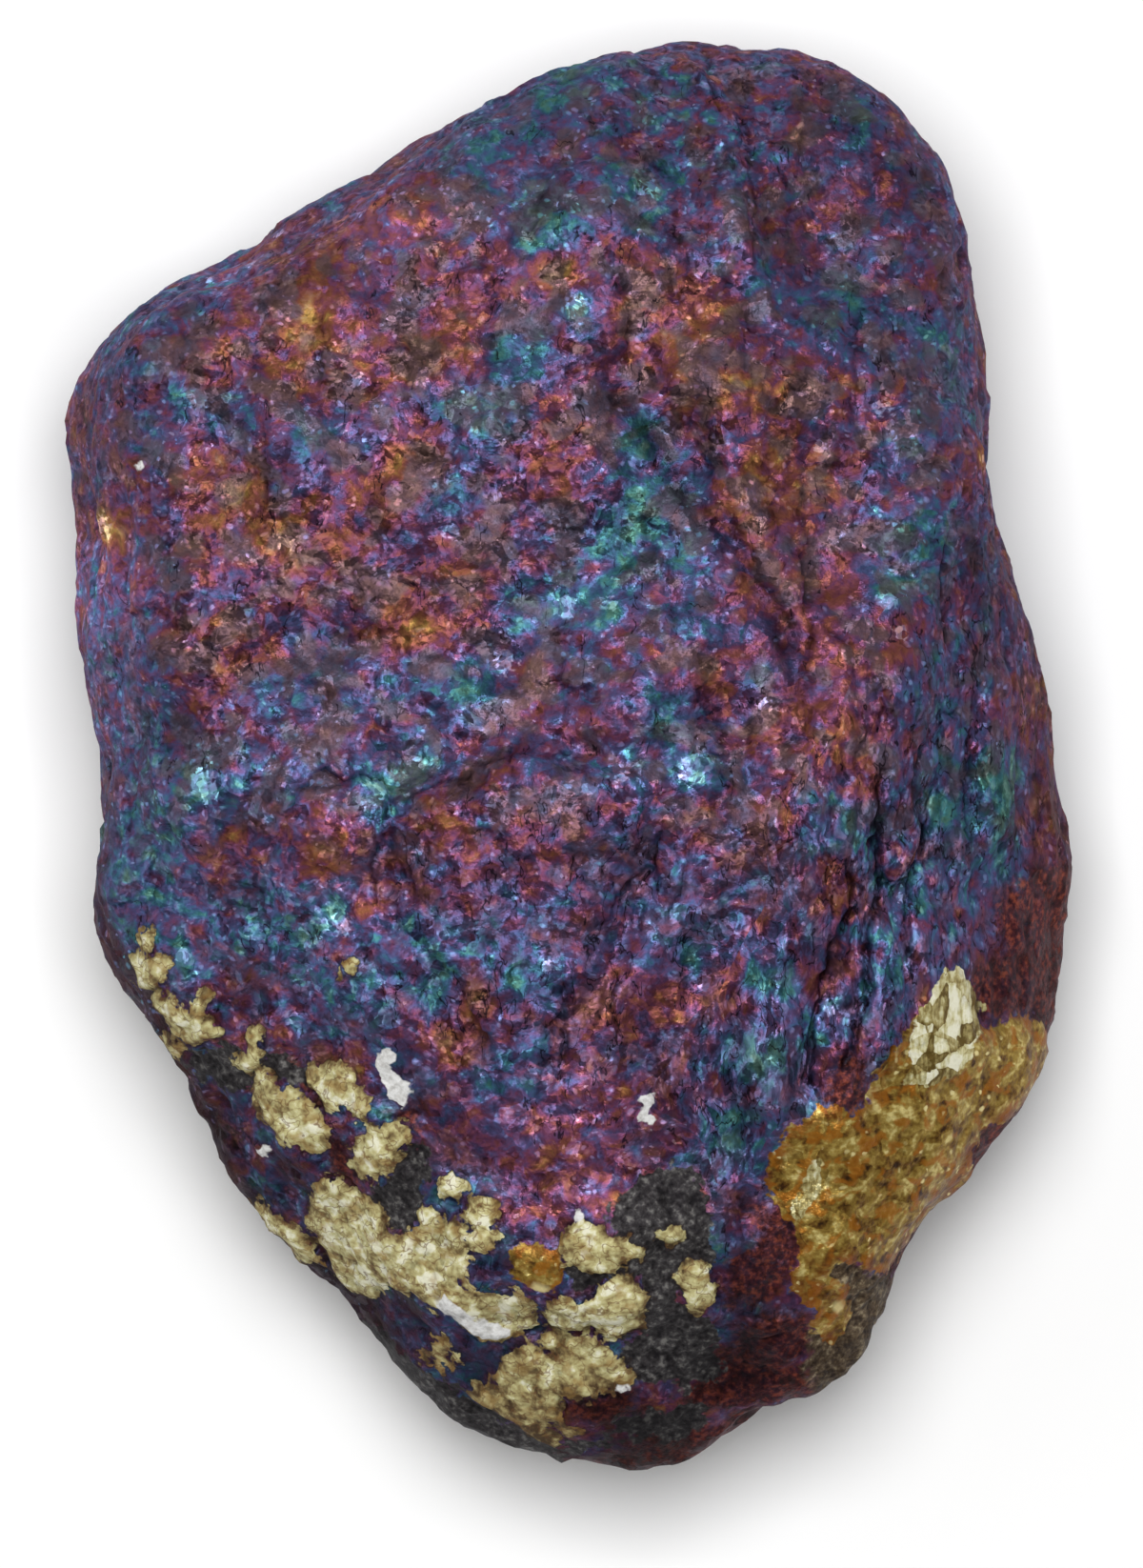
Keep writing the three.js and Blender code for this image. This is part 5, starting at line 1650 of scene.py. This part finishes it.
    def masks(self, b: Bench, frayed: Socket) -> dict[Crust, Socket]:
        """Works out where each kind of crust covers what lies under it.

        Args:
            b: The bench to work on.
            frayed: Noise that frays the edges.

        Returns:
            One share from 0 to 1 for each kind of crust.
        """
        masks = {}
        for crust, look in LOOKS.items():
            inside = b.line(frayed, look.fray, b.attribute(crust.value))
            masks[crust] = b.step(inside, -look.soft, look.soft)
        masks[Crust.MAROON] = b.times(masks[Crust.MAROON], self.maroon_share)
        return masks

    def shading(self, b: Bench) -> Socket:
        """How much crevices, hollows and cracks darken the surface, and ridges lighten it."""
        crevice = b.step(b.attribute("crevice"), *self.crevice_band)
        hollow = b.step(b.attribute("hollow"), *self.hollow_band)
        ridge = b.step(b.attribute("hollow"), *self.ridge_band)
        return b.scaled(
            1.0,
            (crevice, self.crevice_shade),
            (hollow, self.hollow_shade),
            (ridge, self.ridge_light),
            (b.attribute("crack"), self.crack_shade),
        )

    def breakage(self, b: Bench, place: Socket) -> Breakage:
        """Breaks the surface into soft drifts, ragged grains and specks, drawn out along the flank.

        Args:
            b: The bench to work on.
            place: Places in millimetres.

        Returns:
            What each place of the surface belongs to.
        """
        stirred = b.noise(place, self.stir_noise).outputs["Color"]
        bent = b.vector("MULTIPLY_ADD", stirred, self.stir, place)
        even = b.stretched(bent, self.even_lean, self.even_scale)
        drawn = b.stretched(bent, self.drawn_lean, self.drawn_scale)
        places = b.add("Mix", data_type="VECTOR")
        b.feed(places.inputs["Factor"], b.math("GREATER_THAN", b.attribute("streak"), self.drawn_from))
        for socket, value in zip(places.inputs[4:6], (even, drawn)):
            b.feed(socket, value)
        coords = places.outputs[1]
        broad = b.noise(coords, self.broads_noise).outputs["Color"]
        fine = b.noise(coords, self.fines_noise).outputs["Color"]
        torn = b.vector("MULTIPLY_ADD", fine, self.ragged, coords)
        grains = b.cells(torn, self.grains_per_mm)
        specks = b.cells(torn, self.specks_per_mm)
        grain, speck = grains.outputs["Color"], specks.outputs["Color"]
        dust = b.cells(coords, self.dusts_per_mm).outputs["Color"]
        return Breakage(
            fine=fine,
            grain=grain,
            speck=speck,
            dust=dust,
            core=b.step(specks.outputs["Distance"], *self.core_band),
            crumb=b.noise(place, self.crumbs_noise).outputs["Fac"],
            seam=self.seams(b, bent),
            rind=b.step(grains.outputs["Distance"], *self.rind_band),
            broads=b.channels(broad),
            fines=b.channels(fine),
            grains=b.channels(grain),
            specks=b.channels(speck),
            dusts=b.channels(dust),
        )

    def seams(self, b: Bench, bent: Socket) -> Socket:
        """Thin crevices, 1 within them, mostly lengthwise and commonest where the stone is riven."""
        along = b.stretched(bent, self.seam_lean, self.seam_scale)
        run = b.channels(b.noise(along, self.seam_noise).outputs["Color"])
        common = b.line(b.attribute("riven"), self.seam_riven, run[1])
        return b.times(b.near_half(run[0], *self.seam_line), b.step(common, *self.seam_common))

    def ore_colour(self, b: Bench, place: Socket, broken: Breakage) -> Socket:
        """The tarnished ore's colour.

        Args:
            b: The bench to work on.
            place: Places in millimetres.
            broken: How the ore is broken up.

        Returns:
            The colour.
        """
        slow, calm, mist = b.channels(b.noise(place, self.slow_noise).outputs["Color"])
        film = b.drift(
            b.attribute("film"),
            (slow, self.film_slow),
            (broken.broads[0], b.line(b.attribute("lively"), self.swing_lively, self.swing_least)),
            (broken.fines[0], self.film_fine),
            (broken.grains[0], self.film_grain),
            (broken.specks[0], self.film_speck),
        )
        colour = b.mix(self.haze(b, mist, place, broken), b.ramp(film, FILM_STOPS), HAZE)
        light = self.grain_light(b, calm, broken)
        colour = b.lit(colour, light)
        # Painted sheen: every grain is greyed a little, the brightest most.
        painted_sheen = b.line(b.step(light, *self.sheen_band), self.sheen_bright, self.sheen_least)
        colour = b.mix(painted_sheen, colour, b.grey(b.add("RGBToBW", {0: colour}).outputs[0]))
        # Painted shade in thin seams.
        colour = b.mix(b.times(broken.seam, self.seam_shade_share), colour, SEAM_SHADE)
        # Painted shade on the steep rim towards the foot.
        colour = b.mix(b.times(b.attribute("rim"), self.rim_shade_share), colour, RIM_SHADE)
        return self.sparks(b, colour, film, broken)

    def haze(self, b: Bench, mist: Socket, place: Socket, broken: Breakage) -> Socket:
        """How much grey haze dulls the film."""
        mist = b.drift(mist, (broken.broads[2], self.haze_drift))
        haze = b.times(b.step(mist, *self.haze_band), b.step(b.attribute("light"), *self.haze_light))
        foot = b.step(b.lengthwise(place), *self.haze_foot_band)
        haze = b.scaled(haze, (b.attribute("steep"), self.haze_steep), (foot, self.haze_foot))
        return b.times(haze, self.haze_share)

    def grain_light(self, b: Bench, calm: Socket, broken: Breakage) -> Socket:
        """How light each grain is, where some stretches are calm and others rough.

        The light is partly the grains' own tone and partly painted light and shade on their facets.
        """
        power = b.drift(
            0.0,
            (broken.broads[1], self.light_broad),
            (broken.fines[1], self.light_fine),
            (broken.grains[1], self.light_grain),
            (broken.specks[1], self.light_speck),
            (broken.dusts[1], self.light_dust),
        )
        reach = b.line(b.step(calm, *self.calm_band), self.light_rough, self.light_calm)
        reach = b.line(b.attribute("steep"), self.light_steep, reach)
        return b.math("POWER", 2.0, b.times(power, b.times(reach, b.attribute("lively"))))

    def sparks(self, b: Bench, colour: Socket, film: Socket, broken: Breakage) -> Socket:
        """Adds painted highlights: on specks, brighter ones on dusts, and on the large cleavage faces.

        Args:
            b: The bench to work on.
            colour: The ore's colour without them.
            film: The tarnish film.
            broken: How the ore is broken up.

        Returns:
            The colour with them.
        """
        gain = self.spark_gain
        vivid = b.ramp(b.drift(film, (broken.specks[2], self.spark_drift)), FILM_STOPS)
        spark = b.mix(1.0, vivid, (gain, gain, gain, 1.0), "MULTIPLY")
        glint = b.mix(self.glint_white, spark, GLARE)

        lively = b.step(broken.broads[1], *self.spark_band)
        lively = b.times(lively, b.attribute("lively"), clamp=True)
        few = b.times(b.step(broken.specks[2], *self.spark_lively), lively)
        shown = b.most(few, b.step(broken.specks[2], *self.spark_anywhere))
        shown = b.times(shown, broken.core)
        colour = b.mix(b.times(shown, self.spark_share), colour, b.mix(self.spark_white, spark, GLARE))

        dust_glints = b.times(b.step(broken.dusts[2], *self.dust_glint_band), b.times(lively, self.dust_glint_share))
        colour = b.mix(dust_glints, colour, glint)

        glints = b.attribute("glint")
        face = b.drift(glints, (broken.specks[1], self.face_speck), (broken.fines[2], self.face_fine))
        face = b.times(b.step(face, *self.face_band), b.step(glints, *self.face_edge))
        shine = b.mix(1.0, glint, b.ramp(broken.specks[0], SHINE_STOPS), "MULTIPLY")
        return b.mix(b.times(face, self.glint_share), colour, shine)

    def crust_colour(self, b: Bench, crust: Crust, place: Socket, broken: Breakage) -> Socket:
        """The colour of one kind of crust.

        Args:
            b: The bench to work on.
            crust: The kind of crust.
            place: Places in millimetres.
            broken: How the surface is broken up.

        Returns:
            The colour.
        """
        if crust is Crust.PALE:
            return self.pale_colour(b, place, broken)
        if crust is Crust.BRASS:
            return self.brass_colour(b, broken)
        value = broken.crumb
        if crust is Crust.FLAKE:
            value = self.flake_value(b, place, broken)
        elif crust is Crust.MAROON:
            value = b.drift(value, (broken.broads[0], self.maroon_broad))
        elif crust is not Crust.CHALK:
            specks, broads = (broken.specks[0], self.matrix_speck), (broken.broads[0], self.matrix_broad)
            value = b.drift(value, specks, broads)
        return b.ramp(value, LOOKS[crust].stops)

    def flake_value(self, b: Bench, place: Socket, broken: Breakage) -> Socket:
        """How light the pale flake is, which is ribbed lengthwise."""
        along = b.stretched(place, self.rib_lean, self.rib_scale)
        ribs = b.noise(along, self.rib_noise).outputs["Fac"]
        value = b.drift(
            self.flake_middle,
            (ribs, self.flake_rib),
            (broken.crumb, self.flake_crumb),
            (broken.grains[0], self.flake_grain),
            (broken.specks[0], self.flake_speck),
        )
        return b.line(broken.rind, self.flake_rind, value)

    def pale_colour(self, b: Bench, place: Socket, broken: Breakage) -> Socket:
        """The pale crust's colour: lighter inside, darker by the foot, with stains and thin veins."""
        foot = b.step(b.lengthwise(place), *self.pale_foot_band)
        inner = b.step(b.attribute(Crust.PALE.value), *self.pale_inner_band)
        value = b.drift(
            self.pale_middle,
            (broken.crumb, self.pale_crumb),
            (broken.broads[0], self.pale_broad),
            (broken.grains[0], self.pale_grain),
            (broken.specks[0], self.pale_speck),
        )
        value = b.line(broken.rind, self.pale_rind, value)
        value = b.line(foot, self.pale_foot, value)
        value = b.line(inner, self.pale_inner, value)
        colour = b.ramp(value, LOOKS[Crust.PALE].stops)
        stain = b.times(b.step(broken.broads[1], *self.stain_band), self.stain_share)
        vein = b.times(b.near_half(broken.broads[2], *self.vein_line), self.vein_share)
        return b.mix(vein, b.mix(stain, colour, STAIN), VEIN)

    def brass_colour(self, b: Bench, broken: Breakage) -> Socket:
        """The brassy ore's colour, olive gold with pits and a rusty border.

        Its bright specks and glints are painted highlights.
        """
        value = b.drift(
            self.brass_middle,
            (broken.crumb, self.brass_crumb),
            (broken.fines[0], self.brass_fine),
            (broken.grains[1], self.brass_grain),
            (broken.broads[1], self.brass_broad),
        )
        colour = b.ramp(value, LOOKS[Crust.BRASS].stops)
        rust = b.step(broken.broads[0], *self.rust_band)
        colour = b.mix(b.times(rust, self.rust_share), colour, RUST)
        edge = b.step(b.attribute(Crust.BRASS.value), *self.rusty_edge_reach)
        edge = b.times(edge, b.step(broken.broads[2], *self.rusty_edge_band))
        colour = b.mix(b.times(edge, self.rusty_edge_share), colour, RUSTY_EDGE)
        # Painted highlights on bright specks and on the glints.
        bright = b.times(b.step(broken.specks[2], *self.brass_spark_band), broken.core)
        bright = b.most(bright, b.attribute("glint"), clamp=True)
        return b.mix(b.times(bright, self.brass_spark_share), colour, BRASS_HIGHLIGHT)

    def broken_normal(self, b: Bench, broken: Breakage, bright: Socket) -> Socket:
        """Tilts the grains and specks, each its own way.

        Args:
            b: The bench to work on.
            broken: How the ore is broken up.
            bright: Where the surface is metallic.

        Returns:
            The tilted surface direction.
        """
        total = (0.0, 0.0, 0.0)
        leans = (
            (broken.grain, self.grain_lean),
            (broken.speck, self.speck_lean),
            (broken.dust, self.dust_lean),
            (broken.fine, self.fine_lean),
        )
        for colour, lean in leans:
            centred = b.vector("SUBTRACT", colour, (0.5, 0.5, 0.5))
            total = b.vector("MULTIPLY_ADD", centred, (lean, lean, lean), total)
        outward = b.add("NewGeometry").outputs["Normal"]
        return b.vector("NORMALIZE", b.vector("ADD", outward, b.vector("SCALE", total, scale=bright)))


@dataclass(frozen=True)
class FloorFinish:
    """A plain pale floor."""

    name: str = "studio_floor"
    colour: Colour = (0.92, 0.92, 0.92, 1.0)
    roughness: float = 0.9

    def build(self) -> bpy.types.Material:
        """Makes the floor's material."""
        b = Bench(self.name)
        shader = b.add("BsdfPrincipled", {"Base Color": self.colour, "Roughness": self.roughness})
        b.add("OutputMaterial", {"Surface": shader.outputs[0]})
        return b.material


# ---------------------------------------------------------------------------
# The studio
# ---------------------------------------------------------------------------


@dataclass(frozen=True)
class Lamp:
    """A square soft light: its name, place and side in metres, and its power in watts."""

    name: str
    place: Triple
    size: float
    power: float


@dataclass
class Studio:
    """Floor, lights and camera, with sizes in metres."""

    floor_size: float = 4.0
    floor_gap: float = 0.00002
    lamps: tuple[Lamp, ...] = (
        Lamp("key", (-0.006, 0.062, 0.60), 0.235, 3.5),
        Lamp("left", (-0.55, 0.10, 0.25), 0.5, 0.95),
        Lamp("right", (0.60, 0.05, 0.25), 0.5, 0.6),
        Lamp("far", (0.0, 0.60, 0.25), 0.5, 0.6),
        Lamp("near", (0.0, -0.60, 0.20), 0.5, 0.4),
    )
    sky_colour: Colour = (1.0, 1.0, 1.0, 1.0)
    sky_strength: float = 0.06
    rim_height: float = 0.0166
    camera_rise: float = 1.2
    camera_reach: float = 10.0
    view_middle: tuple[float, float] = (0.00015, -0.00145)
    view_height: float = 0.0823
    sensor: float = 36.0

    def lay_floor(self) -> None:
        """Lays the floor just under the stone."""
        half = self.floor_size / 2
        mesh = bpy.data.meshes.new("floor")
        corners = [(-half, -half, 0), (half, -half, 0), (half, half, 0), (-half, half, 0)]
        mesh.from_pydata(corners, [], [(0, 1, 2, 3)])
        mesh.materials.append(FloorFinish().build())
        floor = bpy.data.objects.new("floor", mesh)
        floor.location.z = -self.floor_gap
        bpy.context.scene.collection.objects.link(floor)
        floor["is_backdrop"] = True

    def hang(self, lamp: Lamp) -> None:
        """Hangs a light that points at the stone."""
        data = bpy.data.lights.new(lamp.name, "AREA")
        data.size = lamp.size
        data.energy = lamp.power
        light = bpy.data.objects.new(lamp.name, data)
        light.location = lamp.place
        light.rotation_euler = Vector(lamp.place).to_track_quat("Z", "Y").to_euler()
        bpy.context.scene.collection.objects.link(light)

    def light(self) -> None:
        """Lights the stone softly from above, with a little fill round it."""
        world = bpy.data.worlds.new("studio")
        bpy.context.scene.world = world
        world.use_nodes = True
        background = world.node_tree.nodes["Background"]
        background.inputs["Color"].default_value = self.sky_colour
        background.inputs["Strength"].default_value = self.sky_strength
        for lamp in self.lamps:
            self.hang(lamp)

    def set_camera(self) -> None:
        """Looks straight down on the stone through a long lens."""
        data = bpy.data.cameras.new("camera")
        data.sensor_fit = "VERTICAL"
        data.sensor_height = self.sensor
        data.lens = self.sensor * self.camera_rise / self.view_height
        data.clip_end = self.camera_reach
        camera = bpy.data.objects.new("camera", data)
        camera.location = (*self.view_middle, self.rim_height + self.camera_rise)
        bpy.context.scene.collection.objects.link(camera)
        bpy.context.scene.camera = camera

    def build(self) -> None:
        """Sets up the floor, the lights and the camera."""
        self.lay_floor()
        self.light()
        self.set_camera()
        bpy.context.scene.view_settings.view_transform = "Standard"


def corners() -> list[list[float]]:
    """The shown object's lowest and highest corner as plain lists."""
    return [list(corner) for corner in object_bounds()]


def main() -> None:
    """Builds the stone and the studio."""
    logging.basicConfig(level=logging.INFO, format="%(name)s: %(message)s")
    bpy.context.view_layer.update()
    stone = Stone()
    piece = stone.build()
    stone.dress(piece, OreFinish().build())
    LOG.info("%s: %d points, %d triangles", piece.name, len(stone.points), len(stone.faces))
    Studio().build()
    bpy.context.view_layer.update()


if __name__ == "__main__":
    main()
